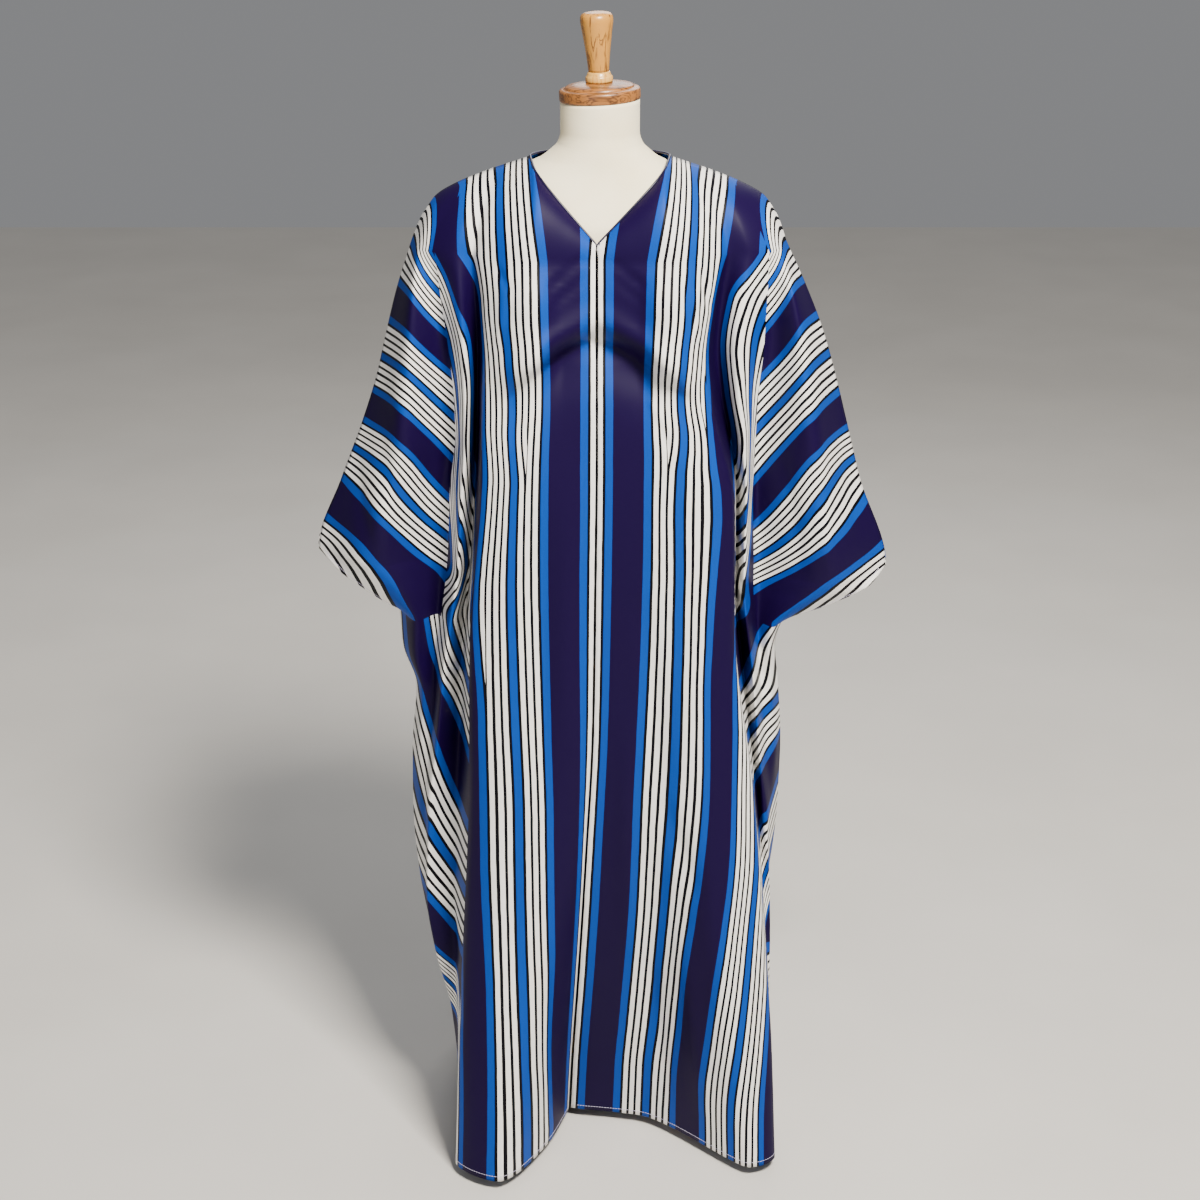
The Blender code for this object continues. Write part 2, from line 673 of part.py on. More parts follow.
# Wooden neck cap with its ferrule and finial, seated on the tilted top of the neck
neck_top = (0.0, 0.0, FORM_TOP_Z)
turned_piece("neck_cap", CAP_PROFILE, neck_top, NECK_TILT, walnut)
turned_piece("finial_ferrule", FERRULE_PROFILE, neck_top, NECK_TILT, olive_wood)
turned_piece("finial", FINIAL_PROFILE, neck_top, NECK_TILT, olive_wood)

# Pole under the torso, and the hub that holds the legs
axis = (0.0, POLE_Y, 0.0)
pole_top = FORM_RINGS[-1][0] - SEAM_GAP
pole_profile = ((POLE_RADIUS, HUB_TOP + SEAM_GAP), (POLE_RADIUS, pole_top))
turned_piece("pole", pole_profile, axis, 0.0, beech)
hub_profile = ((HUB_RADIUS, HUB_BOTTOM), (HUB_RADIUS, HUB_TOP))
turned_piece("hub", hub_profile, axis, 0.0, beech)

# Three arched wooden legs with flat feet
for name, reach_x, reach_y in (
    ("leg_front_left", -LEG_SIDE_REACH, -LEG_FRONT_REACH),
    ("leg_front_right", LEG_SIDE_REACH, -LEG_FRONT_REACH),
    ("leg_back", 0.0, LEG_BACK_REACH),
):
    reach = math.hypot(reach_x, reach_y)
    out = np.array([reach_x / reach, reach_y / reach, 0.0])
    across = np.array([-out[1], out[0], 0.0])
    start = HUB_RADIUS + 2 * SEAM_GAP
    outline = LEG_TOP + LEG_UNDERSIDE
    points = []
    for half in (-LEG_WIDTH / 2, LEG_WIDTH / 2):
        for share, height in outline:
            distance = start + share * (reach - start)
            points.append(np.array([0.0, POLE_Y, height]) + out * distance + across * half)
    count = len(outline)
    faces = [tuple(reversed(range(count))), tuple(range(count, 2 * count))]
    for k in range(count):
        nxt = (k + 1) % count
        faces.append((k, nxt, nxt + count, k + count))
    add_piece(name, points, faces, beech, False)
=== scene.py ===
"""A long V-necked kaftan in lengthwise-striped crepe, on a limbless dress form with a turned finial."""
import math

import bpy
import numpy as np
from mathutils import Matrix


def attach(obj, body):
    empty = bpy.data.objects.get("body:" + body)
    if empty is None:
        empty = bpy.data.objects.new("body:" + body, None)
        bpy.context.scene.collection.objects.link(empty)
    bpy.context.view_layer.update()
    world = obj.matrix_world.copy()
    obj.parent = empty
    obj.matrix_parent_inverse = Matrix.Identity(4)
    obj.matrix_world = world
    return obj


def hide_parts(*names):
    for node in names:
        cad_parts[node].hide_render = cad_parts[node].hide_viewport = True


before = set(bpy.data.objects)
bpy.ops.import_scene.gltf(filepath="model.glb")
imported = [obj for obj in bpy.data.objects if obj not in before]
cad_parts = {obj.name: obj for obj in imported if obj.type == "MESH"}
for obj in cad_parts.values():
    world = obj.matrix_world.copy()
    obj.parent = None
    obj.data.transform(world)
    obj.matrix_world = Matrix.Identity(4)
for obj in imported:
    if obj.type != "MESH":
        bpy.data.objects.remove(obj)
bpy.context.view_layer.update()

# Legs, hub and pole: a tripod of oiled beech that carries the form and hides under the skirt.
# The legs are band-sawn from board and rounded by sanding, so the grain runs out along each of them.
BEECH_LIGHT = "#C79A68"
BEECH_DARK = "#9C6B3F"
BEECH_FLECK_MM = 3.0
BEECH_GRAIN_MM = 16.0


def linear(hex_colour):
    """An sRGB hex colour as the linear colour that a shader takes."""
    parts = [int(hex_colour[k:k + 2], 16) / 255 for k in (1, 3, 5)]
    return tuple(c / 12.92 if c <= 0.04045 else ((c + 0.055) / 1.055) ** 2.4 for c in parts) + (1.0,)


def add_node(material, kind, links=(), **settings):
    """Adds a node to a material, with its settings, its input values and its links."""
    tree = material.node_tree
    node = tree.nodes.new("ShaderNode" + kind)
    for key, value in settings.items():
        if key.startswith("in_"):
            name = key[3:]
            node.inputs[int(name) if name.isdigit() else name.replace("_", " ")].default_value = value
        else:
            setattr(node, key, value)
    for source, target in links:
        tree.links.new(source, node.inputs[target])
    return node


def start_material(name, roughness):
    """A material for one finish: the material and its surface shader."""
    material = bpy.data.materials.new(name)
    material.use_nodes = True
    shader = material.node_tree.nodes["Principled BSDF"]
    shader.inputs["Roughness"].default_value = roughness
    shader.inputs["IOR"].default_value = 1.5
    return material, shader


def colour_ramp(material, source, steps, sharp=False):
    """The output of a colour ramp on a source, with stops from pairs of a place and a colour."""
    ramp = add_node(material, "ValToRGB", [(source, "Fac")])
    ramp.color_ramp.interpolation = "CONSTANT" if sharp else "LINEAR"
    stops = ramp.color_ramp.elements
    while len(stops) < len(steps):
        stops.new(1.0)
    for stop, (place, colour) in zip(stops, steps):
        stop.position = place
        stop.color = linear(colour)
    return ramp.outputs[0]


def noise(material, place, scale, detail, distortion=0.0):
    """One value of noise at each place."""
    return add_node(material, "TexNoise", [(place, "Vector")],
                    in_Scale=scale, in_Detail=detail, in_Distortion=distortion).outputs[0]


def finish(material, shader, colour, height, strength, depth):
    """Links a colour to the surface, and a bump made from a height."""
    bump = add_node(material, "Bump", [(height, "Height")], in_Strength=strength, in_Distance=depth)
    material.node_tree.links.new(colour, shader.inputs["Base Color"])
    material.node_tree.links.new(bump.outputs[0], shader.inputs["Normal"])


def long_grain(wood, along, squeeze):
    """Places in a piece of wood, squeezed along one axis so that its figure runs out that way."""
    scale = [1.0, 1.0, 1.0]
    scale[along] = squeeze
    place = add_node(wood, "TexCoord").outputs["Object"]
    return add_node(wood, "Mapping", [(place, "Vector")], in_Scale=scale).outputs[0]


def sawn_wood(name, light, dark, grain_mm, fleck_mm, along, roughness):
    """Oiled wood: long grain along one axis, darker growth rings and short pore flecks."""
    wood, shader = start_material(name, roughness)
    grain = long_grain(wood, along, 0.07)
    rings = noise(wood, grain, 1000 / grain_mm, 3.0, 0.6)
    pores = noise(wood, grain, 1000 / fleck_mm, 1.0)
    colours = colour_ramp(wood, rings, ((0.30, light), (0.52, light), (0.62, dark), (0.70, light)))
    fleck = add_node(wood, "MapRange", [(pores, "Value")],
                     in_From_Min=0.62, in_From_Max=0.72, in_To_Min=0.0, in_To_Max=0.35)
    mixed = add_node(wood, "Mix", [(fleck.outputs[0], 0), (colours, 6)],
                     data_type="RGBA", in_7=linear(dark))
    finish(wood, shader, mixed.outputs[2], pores, 0.12, 0.0002)
    return wood


for name, along, node_names in (
    ("oiled_beech_upright", 2, ("pole", "hub")),
    ("oiled_beech_leg", 1, ("leg_front_left", "leg_front_right", "leg_back")),
):
    wood = sawn_wood(name, BEECH_LIGHT, BEECH_DARK, BEECH_GRAIN_MM, BEECH_FLECK_MM, along, 0.45)
    for node_name in node_names:
        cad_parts[node_name].data.materials.clear()
        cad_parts[node_name].data.materials.append(wood)

# Torso of the form: a papier-mache or foam bust, hard and smooth, pulled over with cream cotton jersey.
# The knit is fine and matt, drawn tight, so only a faint stitch and a few soft unevennesses show.
MIDDLE_X = 0.0035
MIDDLE_Y = 0.0120
NECK_TILT = math.radians(2.5)
FORM_TOP_Z = 1.4600
FORM_RINGS = np.array((
    # z, half width, half depth, fullness
    (1.46, 0.0503, 0.0503, 2.0), (1.42, 0.0503, 0.0503, 2.0), (1.406, 0.0545, 0.053, 2.0),
    (1.3965, 0.064, 0.055, 2.0), (1.3873, 0.0762, 0.0565, 2.0), (1.3763, 0.1035, 0.059, 2.0),
    (1.3626, 0.139, 0.065, 2.1), (1.348, 0.169, 0.0735, 2.2), (1.3315, 0.19, 0.085, 2.3),
    (1.311, 0.202, 0.0955, 2.4), (1.28, 0.198, 0.0985, 2.3), (1.24, 0.182, 0.0985, 2.2),
    (1.2, 0.164, 0.0975, 2.1), (1.16, 0.148, 0.096, 2.1), (1.1, 0.134, 0.09, 2.1),
    (1.03, 0.122, 0.085, 2.1), (0.97, 0.124, 0.086, 2.1), (0.9, 0.142, 0.096, 2.1),
    (0.84, 0.154, 0.104, 2.1), (0.79, 0.156, 0.106, 2.1), (0.74, 0.15, 0.102, 2.1),
))
FORM_AROUND = 120
FORM_LEVELS = 150
BUST_X = 0.082
BUST_Z = 1.195
BUST_RISE = 0.034
BUST_SPREAD = 0.052
BUST_FADE = 0.03
TILT_FROM_Z = 1.44
TILT_OVER = 0.02
JERSEY_CREAM = "#FFF4D2"
JERSEY_SHADE = "#F8EAC2"
# Real jersey has 1 mm wales; drawn at 1.6 mm so that the knit shows in the render
JERSEY_WALE_MM = 1.6


def smooth(knots, values, at):
    """Values on the smooth curves through knots that never swing past their neighbours."""
    knots = np.asarray(knots, float)
    values = np.asarray(values, float)
    if knots[0] > knots[-1]:
        knots = knots[::-1]
        values = values[::-1]
    shape = (-1,) + (1,) * (values.ndim - 1)
    steps = np.diff(knots).reshape(shape)
    slopes = np.diff(values, axis=0) / steps
    before = 2 * steps[1:] + steps[:-1]
    after = steps[1:] + 2 * steps[:-1]
    same_way = slopes[:-1] * slopes[1:] > 0
    first = np.where(same_way, slopes[:-1], 1.0)
    second = np.where(same_way, slopes[1:], 1.0)
    turns = np.zeros(values.shape)
    turns[0] = slopes[0]
    turns[-1] = slopes[-1]
    turns[1:-1] = np.where(same_way, (before + after) / (before / first + after / second), 0.0)
    at = np.clip(np.asarray(at, float), knots[0], knots[-1])
    k = np.clip(np.searchsorted(knots, at, side="right") - 1, 0, len(knots) - 2)
    t = ((at - knots[k]) / steps.ravel()[k]).reshape(shape)
    step = steps.ravel()[k].reshape(shape)
    start = (1 + 2 * t) * (1 - t) ** 2 * values[k] + t * (1 - t) ** 2 * step * turns[k]
    end = t * t * (3 - 2 * t) * values[k + 1] + t * t * (t - 1) * step * turns[k + 1]
    return start + end


def make_piece(name, points, faces, material, smooth_shaded=True):
    """An object from points in the maker's own frame, set where the model stands."""
    mesh = bpy.data.meshes.new(name)
    moved = np.asarray(points, float) - (MIDDLE_X, MIDDLE_Y, 0.0)
    mesh.from_pydata([tuple(p) for p in moved], [], faces)
    mesh.materials.append(material)
    mesh.update()
    mesh.polygons.foreach_set("use_smooth", [smooth_shaded] * len(mesh.polygons))
    piece = bpy.data.objects.new(name, mesh)
    bpy.context.scene.collection.objects.link(piece)
    return piece


def tube_faces(rings, around):
    """Faces of a lofted body with closed ends."""
    faces = [tuple(range(around))]
    for r in range(rings - 1):
        for k in range(around):
            a = r * around + k
            b = r * around + (k + 1) % around
            faces.append((a, a + around, b + around, b))
    faces.append(tuple((rings - 1) * around + k for k in reversed(range(around))))
    return faces


def cotton_jersey():
    """Tight cream jersey: matt, with a faint knit and slightly uneven tone."""
    jersey, shader = start_material("cotton_jersey", 0.78)
    place = add_node(jersey, "TexCoord").outputs["Object"]
    knit = add_node(jersey, "TexWave", [(place, "Vector")], wave_type="BANDS", bands_direction="DIAGONAL",
                    in_Scale=1000 / JERSEY_WALE_MM / (2 * math.pi), in_Distortion=1.5, in_Detail=2.0)
    tone = noise(jersey, place, 14.0, 4.0)
    colours = colour_ramp(jersey, tone, ((0.32, JERSEY_SHADE), (0.60, JERSEY_CREAM)))
    finish(jersey, shader, colours, knit.outputs[1], 0.10, 0.0003)
    shader.inputs["Sheen Weight"].default_value = 0.15
    return jersey


levels = FORM_RINGS[0, 0] + (FORM_RINGS[-1, 0] - FORM_RINGS[0, 0]) * np.linspace(0, 1, FORM_LEVELS)
levels = np.unique(np.concatenate([levels, FORM_RINGS[:, 0]]))[::-1]
ring_sizes = smooth(FORM_RINGS[:, 0], FORM_RINGS[:, 1:], levels)
turn = np.linspace(0, 2 * math.pi, FORM_AROUND, endpoint=False)
power = 2 / ring_sizes[:, 2:3]
torso = np.zeros((len(levels), FORM_AROUND, 3))
torso[:, :, 0] = ring_sizes[:, 0:1] * np.sign(np.cos(turn)) * np.abs(np.cos(turn)) ** power
torso[:, :, 1] = ring_sizes[:, 1:2] * np.sign(np.sin(turn)) * np.abs(np.sin(turn)) ** power
torso[:, :, 2] = levels[:, None]
for centre in (-BUST_X, BUST_X):
    off = ((torso[:, :, 0] - centre) ** 2 + (torso[:, :, 2] - BUST_Z) ** 2) / BUST_SPREAD ** 2
    fade = np.clip(-torso[:, :, 1] / BUST_FADE, 0, 1)
    torso[:, :, 1] -= BUST_RISE * np.exp(-off) * fade
near_top = np.clip((levels - TILT_FROM_Z) / TILT_OVER, 0, 1)[:, None]
torso[:, :, 2] += torso[:, :, 0] * math.tan(NECK_TILT) * near_top
form = make_piece("dress_form_torso", torso.reshape(-1, 3), tube_faces(len(levels), FORM_AROUND),
                  cotton_jersey())
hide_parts("form_torso")
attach(form, "root")

# Neck cap, ferrule and finial: turned on a lathe from walnut and olive wood, then lacquered.
# The cap is a stepped disc pinned to the neck; the ferrule and the flared finial stand on its middle.
CAP_PROFILE = (
    # radius, height above the neck
    (0.0500, 0.0003), (0.0513, 0.0010), (0.0515, 0.0025), (0.0515, 0.0105),
    (0.0513, 0.0125), (0.0500, 0.0140), (0.0470, 0.0147), (0.0442, 0.0150),
    (0.0437, 0.0158), (0.0432, 0.0172), (0.0415, 0.0182), (0.0300, 0.0205),
    (0.0170, 0.0220),
)
FERRULE_PROFILE = (
    (0.0165, 0.0223), (0.0174, 0.0229), (0.0175, 0.0245), (0.0174, 0.0280),
    (0.0168, 0.0293), (0.0156, 0.0305), (0.0148, 0.0325), (0.0138, 0.0350),
)
FINIAL_PROFILE = (
    (0.0130, 0.0353), (0.0133, 0.0380), (0.0138, 0.0440), (0.0148, 0.0540),
    (0.0160, 0.0640), (0.0175, 0.0745), (0.0190, 0.0850), (0.0202, 0.0925),
    (0.0208, 0.0975), (0.0207, 0.1010), (0.0200, 0.1038), (0.0184, 0.1060),
    (0.0150, 0.1075), (0.0080, 0.1085),
)
TURNED_AROUND = 72
WALNUT_LIGHT = "#96602C"
WALNUT_DARK = "#4A2A12"
OLIVE_LIGHT = "#C08634"
OLIVE_STREAK = "#5E3616"
FERRULE_PALE = "#D9A858"


def turned_piece(name, profile, material):
    """A turned body with flat ends on the tilted top of the neck."""
    rows = []
    for radius, height in profile:
        x = radius * np.cos(np.linspace(0, 2 * math.pi, TURNED_AROUND, endpoint=False))
        y = radius * np.sin(np.linspace(0, 2 * math.pi, TURNED_AROUND, endpoint=False))
        tilted_x = x * math.cos(NECK_TILT) - height * math.sin(NECK_TILT)
        tilted_z = x * math.sin(NECK_TILT) + height * math.cos(NECK_TILT) + FORM_TOP_Z
        rows.append(np.stack([tilted_x, y, tilted_z], axis=1))
    faces = [tuple(reversed(face)) for face in tube_faces(len(rows), TURNED_AROUND)]
    return make_piece(name, np.concatenate(rows), faces, material)


def lacquered_wood(name, light, streak, grain_mm, along, roughness, streak_from, streak_to):
    """Turned wood under thin lacquer: wandering dark streaks on a pale ground, glossy on top."""
    wood, shader = start_material(name, roughness)
    grain = long_grain(wood, along, 0.06)
    streaks = noise(wood, grain, 1000 / grain_mm, 2.5, 1.1)
    fine = noise(wood, grain, 4500 / grain_mm, 2.0)
    faint = add_node(wood, "Math", [(fine, 0)], operation="MULTIPLY", in_1=0.14).outputs[0]
    amount = add_node(wood, "Math", [(streaks, 0), (faint, 2)], operation="MULTIPLY_ADD", in_1=0.86)
    colours = colour_ramp(wood, amount.outputs[0], ((0.30, light), (streak_from, light),
                                                    (streak_to, streak), (streak_to + 0.05, light)))
    finish(wood, shader, colours, fine, 0.06, 0.0002)
    shader.inputs["Coat Weight"].default_value = 0.25
    shader.inputs["Coat Roughness"].default_value = 0.18
    return wood


lacquered_walnut = lacquered_wood("lacquered_walnut", WALNUT_LIGHT, WALNUT_DARK, 9.0, 0, 0.40, 0.47, 0.55)
lacquered_olive = lacquered_wood("lacquered_olive_wood", OLIVE_LIGHT, OLIVE_STREAK, 7.5, 2, 0.34, 0.54, 0.60)
pale_ferrule = lacquered_wood("lacquered_boxwood", FERRULE_PALE, OLIVE_LIGHT, 6.0, 2, 0.30, 0.50, 0.62)
for name, profile, wood, node_name, slot_name in (
    ("turned_neck_cap", CAP_PROFILE, lacquered_walnut, "neck_cap", "walnut"),
    ("turned_ferrule", FERRULE_PROFILE, pale_ferrule, "finial_ferrule", "olive_wood"),
    ("turned_finial", FINIAL_PROFILE, lacquered_olive, "finial", "olive_wood"),
):
    turned = turned_piece(name, profile, wood)
    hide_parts(node_name)
    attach(turned, "root")

# Fronts of the kaftan: two panels of polyester crepe, each cut in one with the front of its sleeve.
# They are joined by the centre seam, darted at the bust, and hang from the shoulders in long folds.
LEFT = -1
RIGHT = 1


def metres(rows):
    """A table that is written in mm, in metres."""
    return tuple(tuple(value / 1000 for value in row) for row in rows)


NECK_X = 0.089
NECK_Y = -0.004
NECK_Z = 1.390
V_BOTTOM_Z = 1.297
V_BOTTOM_Y = -0.105
BACK_NECK_Z = 1.386
BACK_NECK_Y = 0.067
CAP_Z = 1.280
HEM_Z = 0.015
CLOTH_THICKNESS = 0.0009
V_EDGE = (
    # along, y
    (0.0, V_BOTTOM_Y),
    (0.4, -0.094),
    (0.7, -0.081),
    (0.9, -0.060),
    (1.0, NECK_Y),
)
SHOULDER = (
    # x, z
    (0.089, 1.39), (0.117, 1.3805), (0.153, 1.368), (0.19, 1.352), (0.21, 1.339), (0.222, 1.322),
)
CENTRE_FRONT = metres((
    # z, x, y, in mm
    (1300, -4, -106), (1240, -4, -121), (1190, -4, -113), (1140, -4, -126), (1040, -4, -136),
    (860, -6, -142), (660, -9, -142), (460, -19, -135), (280, -29, -112), (100, -40, -72),
    (15, -44, -57),
))
PANEL = {
    LEFT: metres((
        # z, inner x, inner y, crest x, crest y, edge x, edge y, in mm
        (1280, 45, -121, 90, -126, 149, -94),
        (1220, 45, -130, 86, -146, 144, -106),
        (1160, 45, -124, 88, -147, 144, -112),
        (1100, 45, -131, 90, -136, 147, -118),
        (960, 48, -144, 100, -145, 154, -125),
        (775, 52, -152, 110, -151, 168, -132),
        (560, 56, -160, 116, -166, 171, -142),
        (360, 62, -166, 124, -186, 181, -158),
        (190, 68, -162, 132, -211, 194, -174),
        (15, 75, -150, 140, -240, 203, -190),
    )),
    RIGHT: metres((
        (1280, 45, -121, 90, -126, 148, -94),
        (1220, 45, -130, 86, -146, 136, -108),
        (1160, 45, -124, 86, -147, 130, -116),
        (1100, 46, -131, 90, -136, 138, -120),
        (960, 50, -142, 112, -145, 172, -124),
        (775, 54, -146, 120, -149, 176, -128),
        (560, 58, -142, 138, -158, 205, -136),
        (360, 60, -124, 160, -172, 223, -148),
        (190, 60, -98, 184, -188, 238, -160),
        (15, 58, -76, 208, -206, 246, -177),
    )),
}
SIDE = {
    LEFT: metres((
        # z, valley y, rib x, rib y, nook x, nook y, belly y, rim x, rim y, in mm
        (1280, -78, 180, -80, 216, -62, -50, 243, 0),
        (1220, -72, 176, -92, 211, -60, -74, 263, -2),
        (1160, -64, 173, -96, 204, -54, -84, 279, -3),
        (1100, -58, 172, -96, 198, -48, -88, 294, -3),
        (1040, -52, 173, -96, 196, -42, -88, 314, -2),
        (960, -48, 180, -94, 206, -36, -84, 345, 0),
        (860, -42, 187, -90, 212, -28, -74, 380, 0),
        (774, -40, 200, -84, 220, -26, -52, 273, -2),
        (720, -40, 208, -80, 226, -28, -46, 270, 0),
        (660, -42, 215, -76, 228, -34, -34, 254, 4),
        (560, -46, 226, -68, 236, -38, -26, 262, 10),
        (460, -52, 236, -62, 243, -38, -18, 264, 16),
        (360, -60, 241, -60, 246, -36, -10, 258, 20),
        (280, -72, 232, -64, 236, -34, -6, 245, 24),
        (190, -86, 212, -66, 216, -34, -2, 222, 28),
        (100, -100, 204, -68, 206, -34, 0, 208, 32),
        (15, -112, 202, -70, 203, -34, 2, 204, 36),
    )),
    RIGHT: metres((
        (1280, -78, 186, -80, 220, -62, -50, 240, 0),
        (1220, -72, 180, -92, 222, -60, -74, 268, -2),
        (1160, -64, 176, -96, 222, -54, -84, 292, -3),
        (1100, -58, 178, -96, 216, -48, -88, 310, -3),
        (1040, -52, 184, -94, 212, -42, -88, 326, -2),
        (960, -48, 190, -90, 208, -36, -84, 347, 0),
        (835, -42, 190, -88, 214, -28, -72, 387, 0),
        (762, -40, 198, -84, 214, -26, -44, 252, -2),
        (720, -40, 204, -80, 217, -28, -38, 240, 0),
        (660, -42, 210, -74, 222, -34, -30, 246, 4),
        (560, -46, 220, -66, 230, -38, -22, 252, 10),
        (460, -52, 230, -62, 236, -38, -14, 250, 16),
        (360, -60, 238, -60, 239, -36, -8, 241, 20),
        (280, -72, 240, -62, 236, -34, -4, 230, 24),
        (190, -86, 240, -66, 232, -34, 0, 220, 28),
        (100, -100, 240, -68, 230, -34, 0, 214, 32),
        (15, -112, 240, -70, 228, -34, 2, 210, 36),
    )),
}
CUFF = {
    LEFT: metres((
        # z, front x, front y, back x, back y, in mm
        (860, 380, 0, 380, 0), (835, 344, -36, 368, 30), (815, 313, -44, 346, 42),
        (795, 291, -34, 314, 34), (774, 273, -2, 273, -2),
    )),
    RIGHT: metres((
        (835, 387, 0, 387, 0), (815, 357, -36, 378, 30), (795, 309, -44, 346, 42),
        (774, 270, -26, 292, 28), (762, 252, -2, 252, -2),
    )),
}
FOLDS = (2, 3, 3, 2, 2, 2, 3, 3)
COLUMNS_A_STEP = 6
CAP_ROUNDING = 0.85
CAP_STRAIGHTNESS = 0.45
CAP_SHARES = np.linspace(0, 1, 19)[:-1]
VALLEY_SHARE = 0.45
FRONT_BELLY_SHARE = 0.50
SLEEVE_LEAST = 0.008
ROW_STEP = 0.0068
# Closer rows at the cuffs and under the bust: from, to, step; rows nearer than ROW_LEAST are thinned
CUFF_ROWS = (0.762, 0.862, 0.004)
BUST_ROWS = (1.092, 1.204, 0.003)
ROW_LEAST = 0.0012

# How far across the flat cloth, in mm from the centre front seam, each fold lies at each pattern level.
# The cloth turns under at "edge" and comes out at "turn"; "rib" and "nook" end just below the cuffs.
# The sleeve has its own table, as its stripes run on from the shoulder at another slope
PATTERN_LEVELS = (
    1.28, 1.22, 1.16, 1.1, 1.04, 0.96, 0.86, 0.835, 0.774, 0.72, 0.66, 0.56,
    0.46, 0.36, 0.28, 0.19, 0.1, 0.015,
)
ACROSS = {
    LEFT: {
        "inner": (42.8, 42.4, 43, 43.1, 43, 44.7, 46.1, 46.8, 48.5, 50.3, 52.2, 56, 59.5, 63.9, 68, 70.1,
            75.7, 78.6),
        "crest": (88, 84.8, 90.5, 94.8, 95.7, 98.2, 101.9, 103.4, 107, 109.9, 113.1, 118.6, 122.6, 127.9,
            132.7, 138.4, 142.6, 145.4),
        "edge": (153, 155, 165, 172, 175, 172, 168, 168.6, 170, 170, 170, 171, 175, 186, 200, 212, 222,
            227),
        "turn": (153, 155, 165, 172, 178, 194, 210, 218, 240, 270, 304, 355, 411, 467, 517, 562, 610, 655),
        "rim": (280, 300, 312, 325, 344, 369, 412, 431, 397, 395, 397, 431, 456, 492, 538, 587, 634, 680),
        "rib": (181, 215, 240, 246, 244, 261, 306, 312, 328, 354),
        "nook": (231, 269, 288, 300, 312, 328, 356, 362, 378, 398),
    },
    RIGHT: {
        "inner": (49.8, 50.2, 51.3, 52.7, 54.3, 56.7, 60.2, 61.4, 64.2, 67.2, 70.6, 76.1, 80.2, 84.8, 90,
            96.2, 102.4, 103.2),
        "crest": (94.4, 92.6, 97.6, 104.5, 108.9, 121.3, 125, 126.3, 129.5, 134.2, 139.4, 150.6, 169.8,
            197.7, 223, 252, 278, 292),
        "edge": (164, 155, 160, 176, 176, 176, 188, 191.5, 200, 212.3, 226, 252, 266, 292, 312, 334, 350,
            358),
        "turn": (164, 155, 160, 176, 191, 231, 290, 305, 350, 378, 419, 493, 556, 610, 655, 700, 745, 790),
        "rim": (275, 300, 319, 331, 344, 375, 412, 425, 413, 419, 428, 515, 578, 634, 680, 725, 770, 815),
        "rib": (206, 248, 256, 250, 244, 268, 321, 332, 362, 385),
        "nook": (244, 278, 300, 312, 322, 338, 362, 375, 398, 406),
    },
}
SLEEVE_LEVELS = (1.28, 1.22, 1.16, 1.1, 1.04, 0.96, 0.91, 0.86, 0.835, 0.815, 0.795, 0.774, 0.762)
SLEEVE_ACROSS = {
    LEFT: {
        "nook": (231, 295, 351, 406, 458, 535, 580, 628, 652, 662, 668, 676, 680),
        "rim": (280, 340, 402, 470, 545, 652, 698, 749, 760, 765, 770, 777, 782),
    },
    RIGHT: {
        "nook": (244, 308, 358, 402, 445, 502, 543, 594, 625, 649, 665, 680, 688),
        "rim": (275, 344, 409, 471, 533, 628, 668, 708, 732, 748, 758, 772, 782),
    },
}
# Along the neck edge and the shoulder seam, by distance from the middle, in m and mm
ACROSS_TOP = {
    LEFT: ((0, 0), (0.004, 0), (0.0107, 10), (0.0248, 21.5), (0.082, 62.7), (0.089, 71),
           (0.121, 115), (0.1334, 127), (0.170, 169), (0.182, 180), (0.212, 221), (0.222, 233)),
    RIGHT: ((0, 0), (0.004, 4), (0.0107, 10), (0.0248, 21.5), (0.082, 62.7), (0.089, 70),
            (0.1144, 115), (0.127, 127), (0.1634, 169), (0.1756, 180), (0.207, 221), (0.222, 236)),
}
# Two tucks a side that take up one white stripe each: heights where they start and are full
TUCK_LEVELS = {
    LEFT: ((1.069, 0.988), (0.839, 0.666)),
    RIGHT: ((1.073, 1.007), (1.111, 1.047)),
}
TUCK_MM = 10.0
TUCK_PLACES_MM = (94.25, 158.75)
# Cloth that stands forward shows lower in the photo, by this share of how far forward it is
VIEW_FALL = 0.384
# Stripes may run this share of their span past the two folds that set them
PAST_SPAN = (-0.3, 1.1)
# Side stripes look straight in the photo's view below the first height, and lie true to scale below the
# second: where each change starts, and over how much height it comes in
HUNG_FROM, HUNG_OVER = 0.86, 0.09
TRUE_FROM, TRUE_OVER = 0.30, 0.14
# Below this height the panel's own stripes go on past its edge by some columns
TURNED_UNDER_Z = 1.03
TURNED_COLUMNS = 2
# The sleeve's own stripes start this many columns before the nook between sleeve and side
SLEEVE_COLUMNS_EARLY = 3
# The arch under the bust, in mm: middle and height there, fall and reach to its foot, and its power;
# then how strong it is at some distances from the middle
ARCH_X, ARCH_Z, ARCH_FALL, ARCH_REACH, ARCH_POWER = -4, 1172, 28, 60, 1.4
ARCH_STRENGTH = ((0, 60, 105, 130), (1.0, 1.0, 0.55, 0.0))
# Fullness over the arch: m forward, then mm above the arch and spread; and the pull at the arch itself
FULL_FORWARD, FULL_ABOVE, FULL_SPREAD = 0.012, 34, 20
PULLED_BACK, PULL_ABOVE, PULL_BELOW = -0.013, 12, 45
# Creases fade in over this many columns from the centre seam and from the side seam
CALM_AT_CENTRE = 4
CALM_AT_SEAM = 8
# How far the first columns beside the centre seam sink, in m
SEAM_GROOVE = (0.0014, 0.0006, 0.0001)

